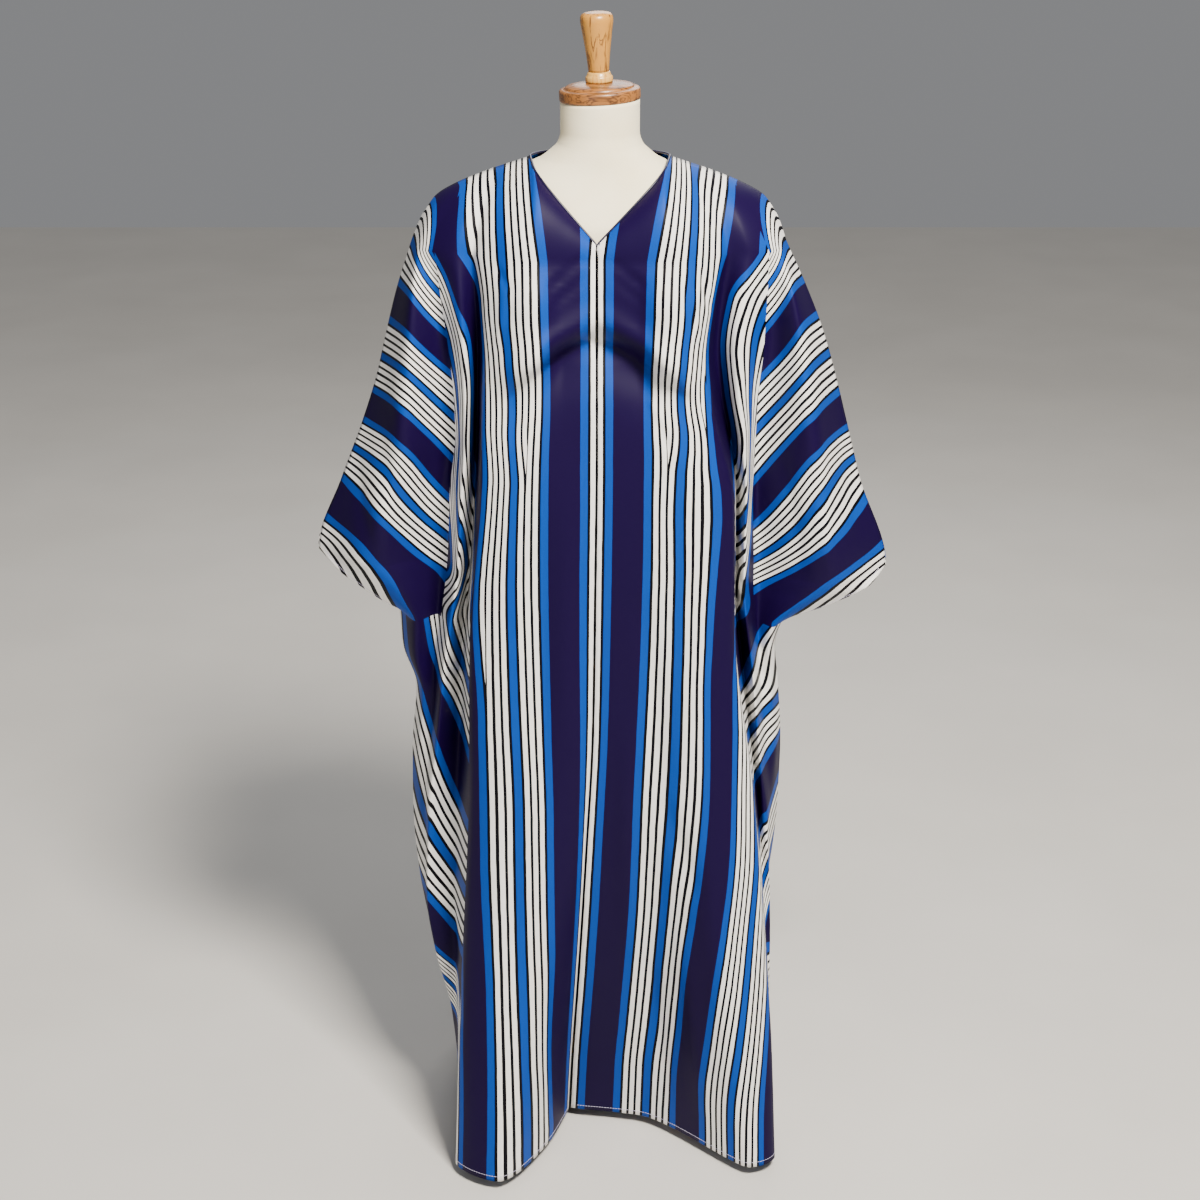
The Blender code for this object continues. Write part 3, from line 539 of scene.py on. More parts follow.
# Creases: the line in the front view from start to end, then width and depth, all in mm
CREASES = {
    LEFT: (
        # x0, z0, x1, z1, half width, depth
        (-18, 1285, -66, 1248, 5, -2.8), (-16, 1275, -72, 1258, 4, 1.8), (-12, 1262, -62, 1226, 4.5, -2.2),
        (-106, 1262, -118, 1200, 5, -2.6), (-118, 1248, -128, 1170, 5, 2.6),
        (-132, 1276, -112, 1242, 4, -3.2),
        (-104, 1100, -112, 1040, 7, -2.2), (-70, 1000, -74, 560, 17, -5.1), (-30, 760, -26, 260, 13, 3.9),
        (-112, 640, -124, 200, 14, -4.5), (-58, 330, -66, 40, 11, -5.1), (-262, 1140, -236, 880, 12, 3.4),
        (-330, 1010, -296, 850, 11, -3.6), (-286, 1060, -262, 850, 10, -3), (-250, 620, -214, 380, 10, 3.6),
        (-232, 520, -196, 210, 9, -4),
    ),
    RIGHT: (
        (14, 1280, 60, 1246, 5, -2.8), (12, 1270, 66, 1262, 4, 1.6), (16, 1258, 58, 1228, 4.5, -2),
        (104, 1262, 116, 1196, 5, -3), (114, 1252, 124, 1176, 4.5, 2.8), (126, 1272, 138, 1214, 4, -3.2),
        (62, 1106, 84, 1068, 5, 2.4), (70, 1082, 92, 1034, 5, -2.4), (86, 1072, 98, 1022, 5, 2),
        (60, 850, 84, 520, 16, -6.3), (84, 560, 134, 400, 13, -5.4), (34, 700, 40, 240, 14, 3.9),
        (112, 380, 146, 60, 12, 5.1), (70, 300, 92, 40, 11, -5.1), (264, 1130, 300, 900, 12, 3.4),
        (316, 1060, 348, 880, 10, -3.4), (238, 1020, 270, 830, 9, -3.2), (286, 960, 306, 840, 8, 3),
        (298, 985, 244, 862, 7, -4), (246, 640, 222, 420, 9, 3.4),
    ),
}


def table_parts(table):
    """A table's first column, and the others."""
    table = np.array(table)
    return table[:, 0], table[:, 1:]


def rim_at(side, face, z):
    """The outer edge of a panel at each height: the seam, or one lip of the cuff mouth."""
    table = np.array(SIDE[side])
    seam = smooth(table[:, 0], table[:, 7:9], z)
    cuff = np.array(CUFF[side])
    lip = smooth(cuff[:, 0], cuff[:, 1:3] if face == "front" else cuff[:, 3:5], z)
    inside = (z >= cuff[-1, 0] - 1e-9) & (z <= cuff[0, 0] + 1e-9)
    return np.where(inside[:, None], lip, seam)


def front_folds(side, z):
    """The folds that level cuts of the front go through: x and y, one row a fold, outwards positive."""
    centre = smooth(*table_parts(CENTRE_FRONT), z)
    panel = smooth(*table_parts(PANEL[side]), z)
    beside = smooth(*table_parts(SIDE[side]), z)
    rim = rim_at(side, "front", z)
    nook_x = np.minimum(beside[:, 3], rim[:, 0] - SLEEVE_LEAST)
    edge_x, rib_x = panel[:, 4], beside[:, 1]
    valley_x = edge_x + VALLEY_SHARE * (rib_x - edge_x)
    belly_x = nook_x + FRONT_BELLY_SHARE * (rim[:, 0] - nook_x)
    xs = (centre[:, 0] * side, panel[:, 0], panel[:, 2], edge_x, valley_x, rib_x, nook_x, belly_x, rim[:, 0])
    ys = (centre[:, 1], panel[:, 1], panel[:, 3], panel[:, 5], beside[:, 0], beside[:, 2], beside[:, 4],
          beside[:, 5], rim[:, 1])
    return np.array(xs), np.array(ys)


def column_places(steps):
    """Where each column of a net lies, counted in folds."""
    places = [0.0]
    for fold, count in enumerate(steps):
        places += [fold + (k + 1) / count for k in range(count)]
    return np.array(places)


def top_edge(side, face, columns, neck_column):
    """The neck edge and the shoulder seam, one point for each column."""
    edge = np.zeros((columns, 3))
    k = np.arange(columns)
    along = np.clip(k / neck_column, 0, 1)
    if face == "front":
        start_x = side * CENTRE_FRONT[0][1]
        edge[:, 0] = start_x + along * (NECK_X - start_x)
        edge[:, 1] = smooth(*zip(*V_EDGE), along)
        edge[:, 2] = V_BOTTOM_Z + along * (NECK_Z - V_BOTTOM_Z)
    else:
        edge[:, 0] = NECK_X * np.sin(along * math.pi / 2)
        edge[:, 1] = NECK_Y + (BACK_NECK_Y - NECK_Y) * np.cos(along * math.pi / 2)
        edge[:, 2] = NECK_Z + (BACK_NECK_Z - NECK_Z) * np.cos(along * math.pi / 2)
    out = (k - neck_column) / (columns - 1 - neck_column)
    past = k > neck_column
    x = NECK_X + out * (SHOULDER[-1][0] - NECK_X)
    edge[past, 0] = x[past]
    edge[past, 1] = (NECK_Y * (1 - out))[past]
    edge[past, 2] = smooth(*zip(*SHOULDER), x)[past]
    edge[:, 0] *= side
    return edge


def panel_net(side, face, folds, places, neck_column, heights):
    """All rows of a panel, from the neck and shoulder down to the hem."""
    xs, ys = folds(side, heights)
    order = np.arange(len(xs))
    cuts = np.stack([side * smooth(order, xs, places), smooth(order, ys, places),
                     np.broadcast_to(heights, (len(places), len(heights)))], axis=2).transpose(1, 0, 2)
    top = top_edge(side, face, len(places), neck_column)
    rows = []
    for share in CAP_SHARES:
        out = math.sin(math.pi / 2 * share ** CAP_ROUNDING)
        round_drop = 1 - math.cos(math.pi / 2 * share)
        drop = CAP_STRAIGHTNESS * share + (1 - CAP_STRAIGHTNESS) * round_drop
        rows.append(top + (cuts[0] - top) * (share, out, drop))
    return np.concatenate([np.array(rows), cuts])


def net_normals(net, outward):
    """Normals of a net, pointing out of the garment, each the mean of the faces round a point."""
    face = np.cross(net[1:, 1:] - net[:-1, :-1], net[:-1, 1:] - net[1:, :-1]) * outward
    face /= np.maximum(np.linalg.norm(face, axis=2, keepdims=True), 1e-12)
    normal = np.zeros(net.shape)
    normal[:-1, :-1] += face
    normal[:-1, 1:] += face
    normal[1:, :-1] += face
    normal[1:, 1:] += face
    return normal / np.linalg.norm(normal, axis=2, keepdims=True)


def run_along(net, axis):
    """How far each point of a net lies from the first one, down its column (0) or along its row (1)."""
    steps = np.linalg.norm(np.diff(net, axis=axis), axis=2)
    return np.insert(np.cumsum(steps, axis=axis), 0, 0.0, axis=axis)


def crease_height(net, creases):
    """How far a net stands out at its creases: soft troughs and ridges that fade at both ends."""
    height = np.zeros(net.shape[:2])
    x = net[:, :, 0] * 1000
    z = net[:, :, 2] * 1000
    for x0, z0, x1, z1, width, depth in creases:
        length = math.hypot(x1 - x0, z1 - z0)
        along = ((x - x0) * (x1 - x0) + (z - z0) * (z1 - z0)) / length ** 2
        across = ((x - x0) * (z1 - z0) - (z - z0) * (x1 - x0)) / length
        fade = np.clip(1 - (2 * along - 1) ** 2, 0, 1)
        height += depth / 1000 * fade * np.exp(-(across / width) ** 2)
    return height


def under_bust(net):
    """How far forward the cloth comes at the bust: pulled in along an arch, overhanging just above it."""
    x = np.abs(net[:, :, 0] * 1000 - ARCH_X)
    z = net[:, :, 2] * 1000
    above = z - (ARCH_Z - ARCH_FALL * (x / ARCH_REACH) ** ARCH_POWER)
    depth = np.interp(x, *ARCH_STRENGTH)
    full = FULL_FORWARD * np.exp(-((above - FULL_ABOVE) / FULL_SPREAD) ** 2)
    pulled = PULLED_BACK * np.exp(-(above / np.where(above > 0, PULL_ABOVE, PULL_BELOW)) ** 2)
    return (full + pulled) * depth


heights = np.unique(np.round(np.concatenate([
    np.arange(HEM_Z, CAP_Z, ROW_STEP), [CAP_Z], [row[0] for cuff in CUFF.values() for row in cuff],
    np.arange(*CUFF_ROWS), np.arange(*BUST_ROWS),
]), 5))[::-1]
close = np.concatenate([[False], -np.diff(heights) < ROW_LEAST])
fixed = np.isin(heights, [CAP_Z, HEM_Z] + [CUFF[side][end][0] for side in CUFF for end in (0, -1)])
heights = heights[~close | fixed]
places = column_places([count * COLUMNS_A_STEP for count in FOLDS])
neck_column = 5 * COLUMNS_A_STEP
fold_columns = np.concatenate([[0], np.cumsum(FOLDS)]) * COLUMNS_A_STEP
sleeve_column = int(fold_columns[6]) - SLEEVE_COLUMNS_EARLY
rows_above = len(CAP_SHARES)
row_levels = np.concatenate([np.full(rows_above, CAP_Z), heights])


def eased(share):
    """A share held between 0 and 1 that starts and ends softly."""
    share = np.clip(share, 0, 1)
    return share * share * (3 - 2 * share)


def straight_between(net, first, last):
    """Stripes that look straight from the front; an end is its x and y by row, and its values by level."""
    x = np.abs(net[:, :, 0])
    share = (x - first[0][:, None]) / np.maximum(last[0] - first[0], 0.004)[:, None]
    seen = net[:, :, 2] + VIEW_FALL * net[:, :, 1]
    ends = []
    for _, end_y, levels, values in (first, last):
        own_level = seen - VIEW_FALL * end_y[:, None]
        ends.append(smooth(levels, np.array(values, float), own_level.ravel()).reshape(seen.shape))
    return ends[0] + np.clip(share, *PAST_SPAN) * (ends[1] - ends[0])


def up_to_top(side, net, layers):
    """Leads the pattern of each layer from its first level row up to the neck edge and shoulder."""
    top = np.interp(np.abs(net[0, :, 0]), *zip(*ACROSS_TOP[side]))
    for layer in layers:
        for r, down in enumerate(CAP_SHARES):
            layer[r] = top + (layer[rows_above] - top) * down


def across_front(side, net):
    """Across the flat cloth at each point: on the front panel, beside it, and on the sleeve."""
    arc = run_along(net, 1) * 1000
    z = row_levels
    table = ACROSS[side]
    at = {key: smooth(PATTERN_LEVELS[:len(values)], np.array(values, float), z)
          for key, values in table.items()}
    panel = np.zeros(net.shape[:2])
    beside = np.zeros(net.shape[:2])
    c = fold_columns
    for r in range(len(net)):
        s = arc[r]
        panel[r] = smooth([s[c[k]] for k in range(4)],
                          np.array([0.0, at["inner"][r], at["crest"][r], at["edge"][r]]), s)
        panel[r] += np.clip(s - s[c[3]], 0, None)
        values = np.array([at["turn"][r], at["rib"][r], at["nook"][r], at["rim"][r]])
        beside[r] = smooth([s[c[3]], s[c[5]], s[c[6]], s[c[8]]], values, s)
    x = np.abs(net[:, :, 0])
    y = net[:, :, 1]
    below = straight_between(net, (x[:, c[3]], y[:, c[3]], PATTERN_LEVELS, table["turn"]),
                             (x[:, c[8]], y[:, c[8]], PATTERN_LEVELS, table["rim"]))
    beside += eased((HUNG_FROM - z) / HUNG_OVER)[:, None] * (below - beside)
    true_scale = at["turn"][:, None] + arc - arc[:, c[3]][:, None]
    beside += eased((TRUE_FROM - z) / TRUE_OVER)[:, None] * (true_scale - beside)
    on_sleeve = SLEEVE_ACROSS[side]
    overarm_x = np.maximum.accumulate(x[:, c[8]])
    sleeve = straight_between(net, (x[:, c[6]], y[:, c[6]], SLEEVE_LEVELS, on_sleeve["nook"]),
                              (overarm_x, 0 * z, SLEEVE_LEVELS, on_sleeve["rim"]))
    up_to_top(side, net, (panel, beside, sleeve))
    has_sleeve = z >= CUFF[side][-1][0] - 1e-6
    column = np.arange(net.shape[1] - 1)
    turned = np.where(z[1:] < TURNED_UNDER_Z, c[3] + TURNED_COLUMNS, c[3])
    choice = np.where(column[None, :] < turned[:, None], 0, 1)
    choice[has_sleeve[1:, None] & (column >= sleeve_column)[None, :]] = 2
    return np.stack([panel, beside, sleeve]), choice


def tucks_at(side, net):
    """How much of each tuck is taken up at each point, in m."""
    z = net[:, :, 2]
    return [eased((start - z) / (start - full)) * TUCK_MM / 1000 for start, full in TUCK_LEVELS[side]]


def cloth_piece(name, net, layers, choice, tucks, flip, material):
    """A panel as a thin shell: a net of quads that carries the flat cloth's own coordinates."""
    rows, columns = net.shape[:2]
    r, c = np.meshgrid(np.arange(rows - 1), np.arange(columns - 1), indexing="ij")
    corner = (r * columns + c).ravel()
    quads = np.stack([corner, corner + columns, corner + columns + 1, corner + 1], axis=1)
    if flip:
        quads = quads[:, ::-1]
    piece = make_piece(name, net.reshape(-1, 3), [tuple(q) for q in quads.tolist()], material)
    chosen = np.repeat(choice.reshape(-1, 1), 4, axis=1)
    u = layers.reshape(len(layers), -1)[chosen, quads] / 1000
    down = run_along(net, 0).reshape(-1)[quads]
    taken = [np.where(chosen == 0, tuck.reshape(-1)[quads], 0.0) for tuck in tucks]
    for layer_name, pair in (("flat_cloth", (u, down)), ("tucks", taken)):
        layer = piece.data.uv_layers.new(name=layer_name)
        layer.data.foreach_set("uv", np.stack(pair, axis=2).ravel())
    wall = piece.modifiers.new("wall", "SOLIDIFY")
    wall.thickness = CLOTH_THICKNESS
    wall.offset = -1.0
    return piece


# Stripe repeat in mm from the start of the purple band: what each band is and where it ends
PURPLE = "#110030"
BLUE = "#00409C"
WHITE = "#F8F6F2"
LINE = "#030208"
STRIPE_REPEAT_MM = 158.6
STRIPE_START_MM = 21.5
STRIPES = (
    # colour, where it ends
    (PURPLE, 41.2), (BLUE, 51.0), (LINE, 54.8), (WHITE, 61.0), (LINE, 64.8), (WHITE, 71.0), (LINE, 74.8),
    (WHITE, 81.0), (LINE, 84.8), (WHITE, 90.8), (LINE, 94.6), (BLUE, 104.4), (LINE, 108.2), (WHITE, 114.5),
    (LINE, 118.3), (WHITE, 124.5), (LINE, 128.3), (WHITE, 134.5), (LINE, 138.3), (WHITE, 144.5),
    (LINE, 148.3), (BLUE, 158.6),
)
# Crepe yarns lie 0.35 mm apart; drawn at 0.9 mm so that the weave shows in the render
CREPE_YARN_MM = 0.9


def striped_crepe():
    """Printed polyester crepe: a lengthwise stripe, a soft satin sheen and a fine pebbled weave."""
    crepe, shader = start_material("striped_polyester_crepe", 0.46)
    flat = add_node(crepe, "UVMap", uv_map="flat_cloth").outputs[0]
    tucks = add_node(crepe, "UVMap", uv_map="tucks").outputs[0]
    place = add_node(crepe, "SeparateXYZ", [(flat, 0)])
    taken = add_node(crepe, "SeparateXYZ", [(tucks, 0)])
    across = add_node(crepe, "Math", [(place.outputs[0], 0)], operation="ABSOLUTE").outputs[0]
    for k, tuck_mm in enumerate(TUCK_PLACES_MM):
        past = add_node(crepe, "Math", [(across, 0)], operation="GREATER_THAN", in_1=tuck_mm / 1000)
        across = add_node(crepe, "Math", [(past.outputs[0], 0), (taken.outputs[k], 1), (across, 2)],
                          operation="MULTIPLY_ADD").outputs[0]
    wander = noise(crepe, flat, 38.0, 1.0)
    uneven = add_node(crepe, "MapRange", [(wander, "Value")], in_To_Min=-0.0004, in_To_Max=0.0004)
    moved = add_node(crepe, "Math", [(across, 0), (uneven.outputs[0], 1)], operation="ADD")
    turns = add_node(crepe, "Math", [(moved.outputs[0], 0)], operation="MULTIPLY_ADD",
                     in_1=1000 / STRIPE_REPEAT_MM, in_2=-STRIPE_START_MM / STRIPE_REPEAT_MM + 1.0)
    band = add_node(crepe, "Math", [(turns.outputs[0], 0)], operation="FRACT")
    starts = [0.0] + [end / STRIPE_REPEAT_MM for _, end in STRIPES[:-1]]
    stripes = colour_ramp(crepe, band.outputs[0],
                          [(start, colour) for start, (colour, _) in zip(starts, STRIPES)], sharp=True)
    yarns = add_node(crepe, "Mapping", [(flat, "Vector")],
                     in_Scale=(1000 / CREPE_YARN_MM, 1000 / CREPE_YARN_MM / 1.6, 1.0))
    pebble = noise(crepe, yarns.outputs[0], 1.0, 2.0)
    tone = add_node(crepe, "MapRange", [(pebble, "Value")],
                    in_From_Min=0.3, in_From_Max=0.7, in_To_Min=0.90, in_To_Max=1.06)
    printed = add_node(crepe, "VectorMath", [(stripes, 0), (tone.outputs[0], 1)],
                       operation="MULTIPLY")
    rough = add_node(crepe, "MapRange", [(pebble, "Value")], in_To_Min=0.46, in_To_Max=0.60)
    finish(crepe, shader, printed.outputs[0], pebble, 0.16, 0.0003)
    crepe.node_tree.links.new(rough.outputs[0], shader.inputs["Roughness"])
    shader.inputs["Specular IOR Level"].default_value = 0.12
    return crepe


crepe = striped_crepe()
fronts = {}
for side, name in ((LEFT, "front_left"), (RIGHT, "front_right")):
    net = panel_net(side, "front", front_folds, places, neck_column, heights)
    layers, choice = across_front(side, net)
    tucks = tucks_at(side, net)
    normal = net_normals(net, side)
    columns = np.arange(net.shape[1])
    to_seam = np.clip(columns[::-1] / CALM_AT_SEAM, 0, 1)
    lift = crease_height(net, CREASES[side]) * np.minimum(columns / CALM_AT_CENTRE, to_seam)
    lift[0] = 0
    shaped = net + normal * lift[:, :, None]
    shaped[1:, :, 1] -= under_bust(net)[1:] * to_seam
    seam_top = rows_above // 2
    shaped[seam_top:, :3] -= normal[seam_top:, :3] * np.array(SEAM_GROOVE)[:, None]
    fronts[side] = shaped
    panel = cloth_piece("kaftan_" + name, shaped, layers, choice, tucks, side == LEFT, crepe)
    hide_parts(name)
    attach(panel, "root")

# Back of the kaftan: one panel of the same crepe cut whole with the backs of both sleeves.
# It is sewn to the fronts along the shoulders, overarms and sides, and falls in long folds to the hem.
BACK = metres((
    # z, centre y, crest x, crest y, edge x, edge y, valley x, valley y, belly y, in mm
    (1280, 106, 90, 111, 150, 98, 178, 80, 50),
    (1220, 108, 90, 115, 148, 98, 178, 70, 72),
    (1160, 106, 88, 114, 148, 100, 178, 58, 82),
    (1040, 100, 85, 110, 150, 102, 180, 48, 86),
    (900, 116, 88, 128, 156, 112, 186, 42, 78),
    (775, 130, 92, 146, 164, 124, 192, 46, 58),
    (560, 150, 100, 172, 176, 138, 204, 58, 62),
    (360, 182, 106, 204, 184, 156, 206, 78, 80),
    (190, 216, 110, 234, 190, 176, 204, 98, 96),
    (15, 250, 114, 264, 196, 196, 202, 116, 110),
))
BACK_DIP = 0.030
BACK_BELLY_SHARE = 0.55
SEAM_SHIFT_MM = 14.0
BACK_SLEEVE_SCALE = 0.9
BACK_FOLDS = (2, 3, 4, 4, 4, 3)
BACK_COLUMNS_A_STEP = 4
BACK_CREASES = (
    # x0, z0, x1, z1, half width, depth
    (-40, 1330, -96, 1240, 9, -3), (-62, 1310, -128, 1210, 8, 2.4), (44, 1326, 92, 1232, 9, -2.8),
    (70, 1312, 132, 1200, 8, 2.2), (-24, 1120, -70, 820, 12, 3), (30, 1080, 64, 760, 13, -3.2),
    (-54, 700, -84, 260, 12, -4), (52, 640, 78, 220, 13, 3.6), (0, 560, 6, 120, 14, 3),
)


def back_folds(side, z):
    """The folds that level cuts of the back go through."""
    row = smooth(*table_parts(BACK), z)
    rim = rim_at(side, "back", z)
    centre_y, crest_x, crest_y, edge_x, edge_y, valley_x, valley_y, belly_y = row.T
    belly_x = valley_x + BACK_BELLY_SHARE * (rim[:, 0] - valley_x)
    xs = (0 * z, 0.5 * crest_x, crest_x, edge_x, valley_x, belly_x, rim[:, 0])
    dip_y = 0.5 * (centre_y + crest_y) - BACK_DIP * (CAP_Z - z) / CAP_Z
    ys = (centre_y, dip_y, crest_y, edge_y, valley_y, belly_y, rim[:, 1])
    return np.array(xs), np.array(ys)


back_places = column_places([count * BACK_COLUMNS_A_STEP for count in BACK_FOLDS])
back_neck = 5 * BACK_COLUMNS_A_STEP
back_fold_columns = np.concatenate([[0], np.cumsum(BACK_FOLDS)]) * BACK_COLUMNS_A_STEP
back_split = int(back_fold_columns[4])


def across_back(side, net):
    """Across the flat back: from the centre on the body, from the seam on the sleeve and side."""
    arc = run_along(net, 1) * 1000
    z = row_levels
    has_sleeve = z >= CUFF[side][-1][0] - 1e-6
    seam = np.where(has_sleeve, smooth(SLEEVE_LEVELS, np.array(SLEEVE_ACROSS[side]["rim"], float), z),
                    smooth(PATTERN_LEVELS, np.array(ACROSS[side]["rim"], float), z)) - SEAM_SHIFT_MM
    body = arc.copy()
    sleeve = seam[:, None] - (arc[:, -1:] - arc) * BACK_SLEEVE_SCALE
    up_to_top(side, net, (body, sleeve))
    return body, sleeve


halves = {}
for side in (LEFT, RIGHT):
    net = panel_net(side, "back", back_folds, back_places, back_neck, heights)
    halves[side] = (net, *across_back(side, net))
back_net, on_body, on_sleeve = (
    np.concatenate([a[:, ::-1], b[:, 1:]], axis=1) for a, b in zip(halves[LEFT], halves[RIGHT]))
middle = back_net.shape[1] // 2
columns = np.arange(back_net.shape[1])
keep = np.clip(np.minimum(columns, columns[::-1]) / CALM_AT_SEAM, 0, 1)
lift = crease_height(back_net, BACK_CREASES) * keep
lift[0] = 0
shaped_back = back_net + net_normals(back_net, -1) * lift[:, :, None]
choice = np.where(np.abs(columns[:-1] + 0.5 - middle) > back_split, 1, 0)
choice = np.tile(choice, (len(back_net) - 1, 1))
no_tucks = np.zeros(back_net.shape[:2])
panel = cloth_piece("kaftan_back", shaped_back, np.stack([on_body, on_sleeve]), choice,
                    (no_tucks, no_tucks), True, crepe)
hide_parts("back")
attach(panel, "root")

# Neck binding: a bias strip of dark satin folded over the neck edge and stitched down.
# It reads as a thin dark cord that closes the V, mitred at its point and round behind the neck.
BINDING_RADIUS = 0.0016
BINDING_AROUND = 10
NECK_MIDDLE = (0.0, -0.01, 1.35)
SATIN_DARK = "#120B33"
SATIN_DEEP = "#0C0726"


def satin_binding():
    """Bias satin: dark, with a soft shine and fine diagonal ribs."""
    satin, shader = start_material("bias_satin", 0.38)
    place = add_node(satin, "TexCoord").outputs["Object"]
    ribs = noise(satin, place, 900.0, 2.0)
    colours = colour_ramp(satin, ribs, ((0.3, SATIN_DEEP), (0.7, SATIN_DARK)))
    finish(satin, shader, colours, ribs, 0.2, 0.0002)
    return satin


front_top = {side: fronts[side][0, :neck_column + 1] for side in (LEFT, RIGHT)}
back_top = back_net[0, middle - back_neck:middle + back_neck + 1]
line = np.concatenate([front_top[LEFT][::-1], front_top[RIGHT][1:-1], back_top[::-1][:-1]])
before = np.roll(line, 1, axis=0)
after = np.roll(line, -1, axis=0)
along = after - before
along /= np.linalg.norm(along, axis=1, keepdims=True)
outward = line - NECK_MIDDLE
outward -= along * (outward * along).sum(axis=1, keepdims=True)
outward /= np.linalg.norm(outward, axis=1, keepdims=True)
across = np.cross(along, outward)
ring = np.linspace(0, 2 * math.pi, BINDING_AROUND, endpoint=False)
points = (line[:, None] + BINDING_RADIUS * (outward[:, None] * np.cos(ring)[None, :, None]
                                             + across[:, None] * np.sin(ring)[None, :, None]))
count = len(line)
faces = []
for k in range(count):
    for m in range(BINDING_AROUND):
        a = k * BINDING_AROUND + m
        b = k * BINDING_AROUND + (m + 1) % BINDING_AROUND
        nxt = ((k + 1) % count - k) * BINDING_AROUND
        faces.append((a, a + nxt, b + nxt, b))
binding = make_piece("neck_binding_strip", points.reshape(-1, 3), faces, satin_binding())
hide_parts("neck_binding")
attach(binding, "root")

# Hem and cuff stitching: a turned edge held by one row of pale thread, a straight machine stitch.
# Each stitch is a short raised dash on the cloth, about 7 mm in from the edge.
STITCH_MM = 3.0
STITCH_GAP_MM = 1.0
FIRST_STITCH = 0.002
LAST_STITCH = 0.005
THREAD_HALF_WIDTH = 0.00035
THREAD_PROUD = 0.0004
THREAD_PALE = "#D8D4E6"
THREAD_SHADE = "#A9A4C0"


def stitch_row(path, normal):
    """Points and faces of one row of stitches along a path on the cloth."""
    steps = np.linalg.norm(np.diff(path, axis=0), axis=1)
    run = np.concatenate([[0.0], np.cumsum(steps)])
    starts = np.arange(FIRST_STITCH, run[-1] - LAST_STITCH, (STITCH_MM + STITCH_GAP_MM) / 1000)
    points = []
    faces = []
    for start in starts:
        ends = [start, start + STITCH_MM / 1000]
        place = np.stack([np.interp(ends, run, path[:, k]) for k in range(3)], axis=1)
        out = np.stack([np.interp(ends, run, normal[:, k]) for k in range(3)], axis=1)
        out /= np.linalg.norm(out, axis=1, keepdims=True)
        beside_it = np.cross(out, place[1] - place[0])
        beside_it /= np.linalg.norm(beside_it, axis=1, keepdims=True)
        first = len(points)
        for p, o, b in zip(place, out, beside_it):
            points += [p - b * THREAD_HALF_WIDTH, p + o * THREAD_PROUD, p + b * THREAD_HALF_WIDTH,
                       p - o * THREAD_PROUD]
        box = [(0, 1, 2, 3), (7, 6, 5, 4)] + [(a, a + 4, (a + 1) % 4 + 4, (a + 1) % 4) for a in range(4)]
        faces += [tuple(first + k for k in face) for face in box]
    return points, faces


def polyester_thread():
    """Spun polyester sewing thread: pale, a little glossy, with a fine twist."""
    thread, shader = start_material("spun_polyester_thread", 0.5)
    place = add_node(thread, "TexCoord").outputs["Object"]
    twist = noise(thread, place, 1800.0, 2.0)
    colours = colour_ramp(thread, twist, ((0.35, THREAD_SHADE), (0.65, THREAD_PALE)))
    finish(thread, shader, colours, twist, 0.3, 0.0001)
    return thread


panels = [(net, net_normals(net, outward)) for net, outward in
          ((fronts[LEFT], LEFT), (fronts[RIGHT], RIGHT), (shaped_back, -1))]
cuff_rows = {side: (row_levels <= cuff[0][0]) & (row_levels >= cuff[-1][0]) for side, cuff in CUFF.items()}
paths = [(points[-2, 1:-1], normal[-2, 1:-1]) for points, normal in panels]
paths += [(points[cuff_rows[side], -3], normal[cuff_rows[side], -3])
          for (points, normal), side in zip(panels, (LEFT, RIGHT))]
paths += [(shaped_back[cuff_rows[side], column], panels[2][1][cuff_rows[side], column])
          for side, column in ((LEFT, 2), (RIGHT, -3))]
points = []
faces = []
for path, normal in paths:
    more_points, more_faces = stitch_row(path, normal)
    faces += [tuple(k + len(points) for k in face) for face in more_faces]
    points += more_points
stitching = make_piece("hem_and_cuff_stitching", points, faces, polyester_thread(), smooth_shaded=False)
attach(stitching, "root")

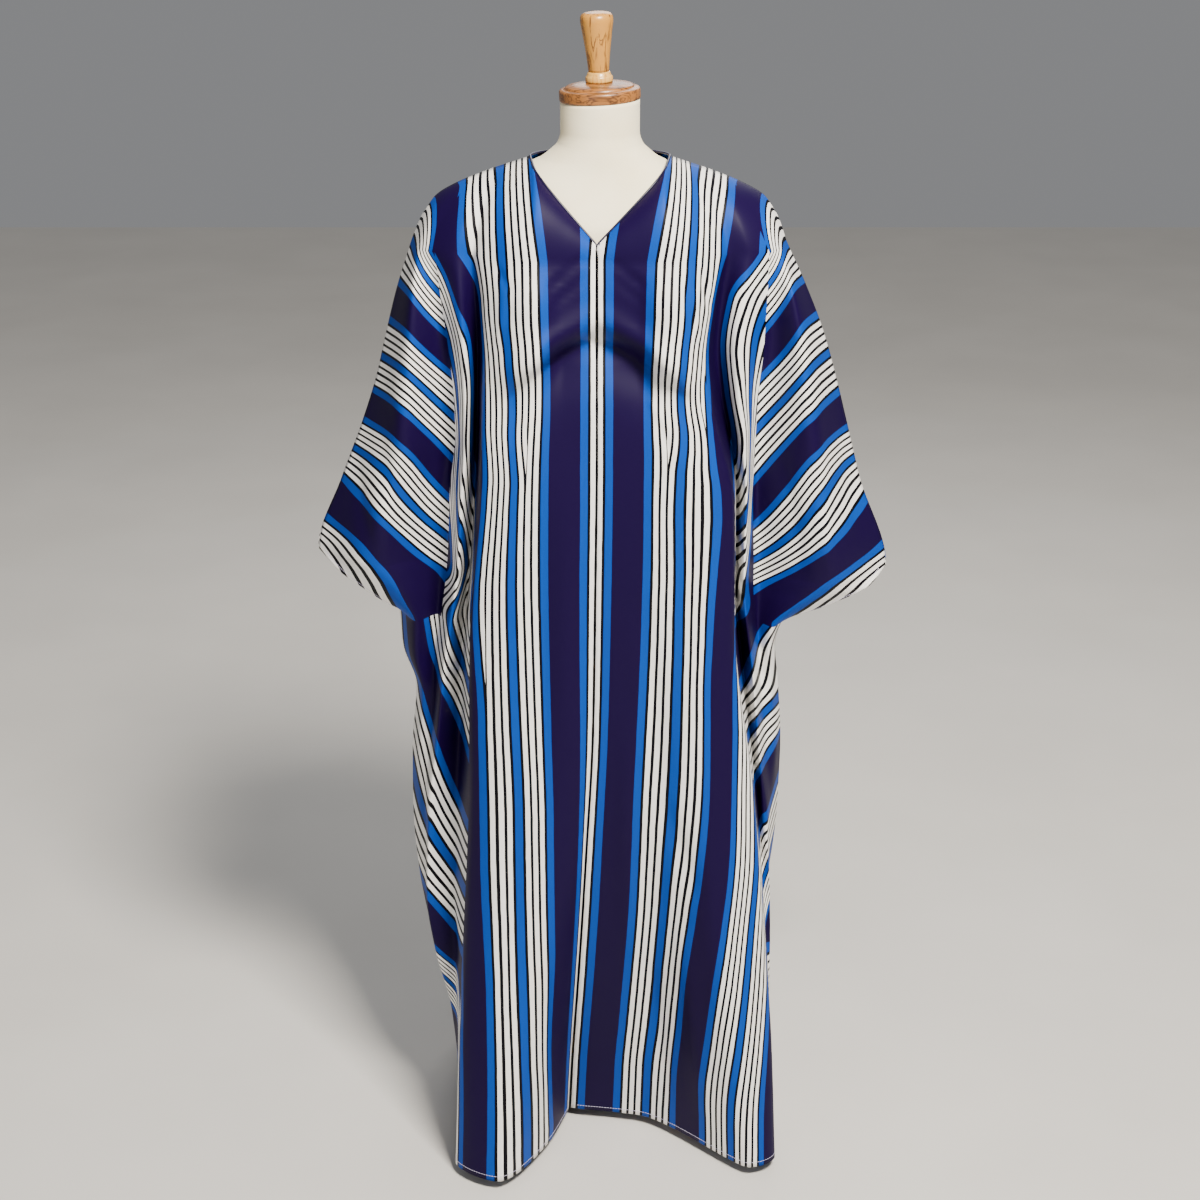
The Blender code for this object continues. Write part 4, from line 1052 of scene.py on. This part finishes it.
# Photo set: a pale matt floor, soft lamps, and the camera at the photo's place and angle.
# The key lamp is high on the right, the fill low on the left, and a rim lamp lights the edges from behind.
FLOOR_PALE = "#D9D6D0"
FLOOR_SHADE = "#D3D0CA"
FLOOR_REACH = 6.0
SKY_PALE = "#D9DADD"
SKY_STRENGTH = 0.34
floor_mesh = bpy.data.meshes.new("studio_floor")
corners = [(x * FLOOR_REACH, y * FLOOR_REACH, 0) for x, y in ((-1, -1), (1, -1), (1, 1), (-1, 1))]
floor_mesh.from_pydata(corners, [], [(0, 1, 2, 3)])
floor = bpy.data.objects.new("studio_floor", floor_mesh)
bpy.context.scene.collection.objects.link(floor)
painted_floor, shader = start_material("painted_floor", 0.8)
place = add_node(painted_floor, "TexCoord").outputs["Object"]
mottle = noise(painted_floor, place, 3.0, 5.0)
tones = colour_ramp(painted_floor, mottle, ((0.3, FLOOR_SHADE), (0.7, FLOOR_PALE)))
painted_floor.node_tree.links.new(tones, shader.inputs["Base Color"])
floor_mesh.materials.append(painted_floor)

world = bpy.data.worlds.new("studio")
bpy.context.scene.world = world
world.use_nodes = True
sky = world.node_tree.nodes["Background"]
sky.inputs[0].default_value = linear(SKY_PALE)
sky.inputs[1].default_value = SKY_STRENGTH


def soft_light(name, place, aim, size, watts, colour):
    """A square soft box at a place, turned to its aim."""
    lamp = bpy.data.lights.new(name, "AREA")
    lamp.shape = "SQUARE"
    lamp.size = size
    lamp.energy = watts
    lamp.color = linear(colour)[:3]
    light = bpy.data.objects.new(name, lamp)
    light.location = place
    x, y, z = np.array(aim, float) - np.array(place, float)
    light.rotation_euler = (math.atan2(math.hypot(x, y), -z), 0, math.atan2(x, -y) + math.pi)
    bpy.context.scene.collection.objects.link(light)


soft_light("key", (0.9, -2.0, 3.5), (0, 0, 0.8), 0.8, 320, "#FFF8EE")
soft_light("fill", (-1.4, -3.2, 1.6), (0, 0, 0.6), 1.8, 14, "#F4F6FF")
soft_light("rim", (0.4, 2.4, 2.6), (0, 0, 1.0), 1.6, 30, "#FFFFFF")

camera_data = bpy.data.cameras.new("photo_camera")
camera_data.lens = 72.0
camera_data.sensor_width = 36.0
camera = bpy.data.objects.new("photo_camera", camera_data)
camera.location = (-0.0035, -3.062, 1.955)
camera.rotation_euler = (math.radians(69.0), 0.0, 0.0)
bpy.context.scene.collection.objects.link(camera)
bpy.context.scene.camera = camera
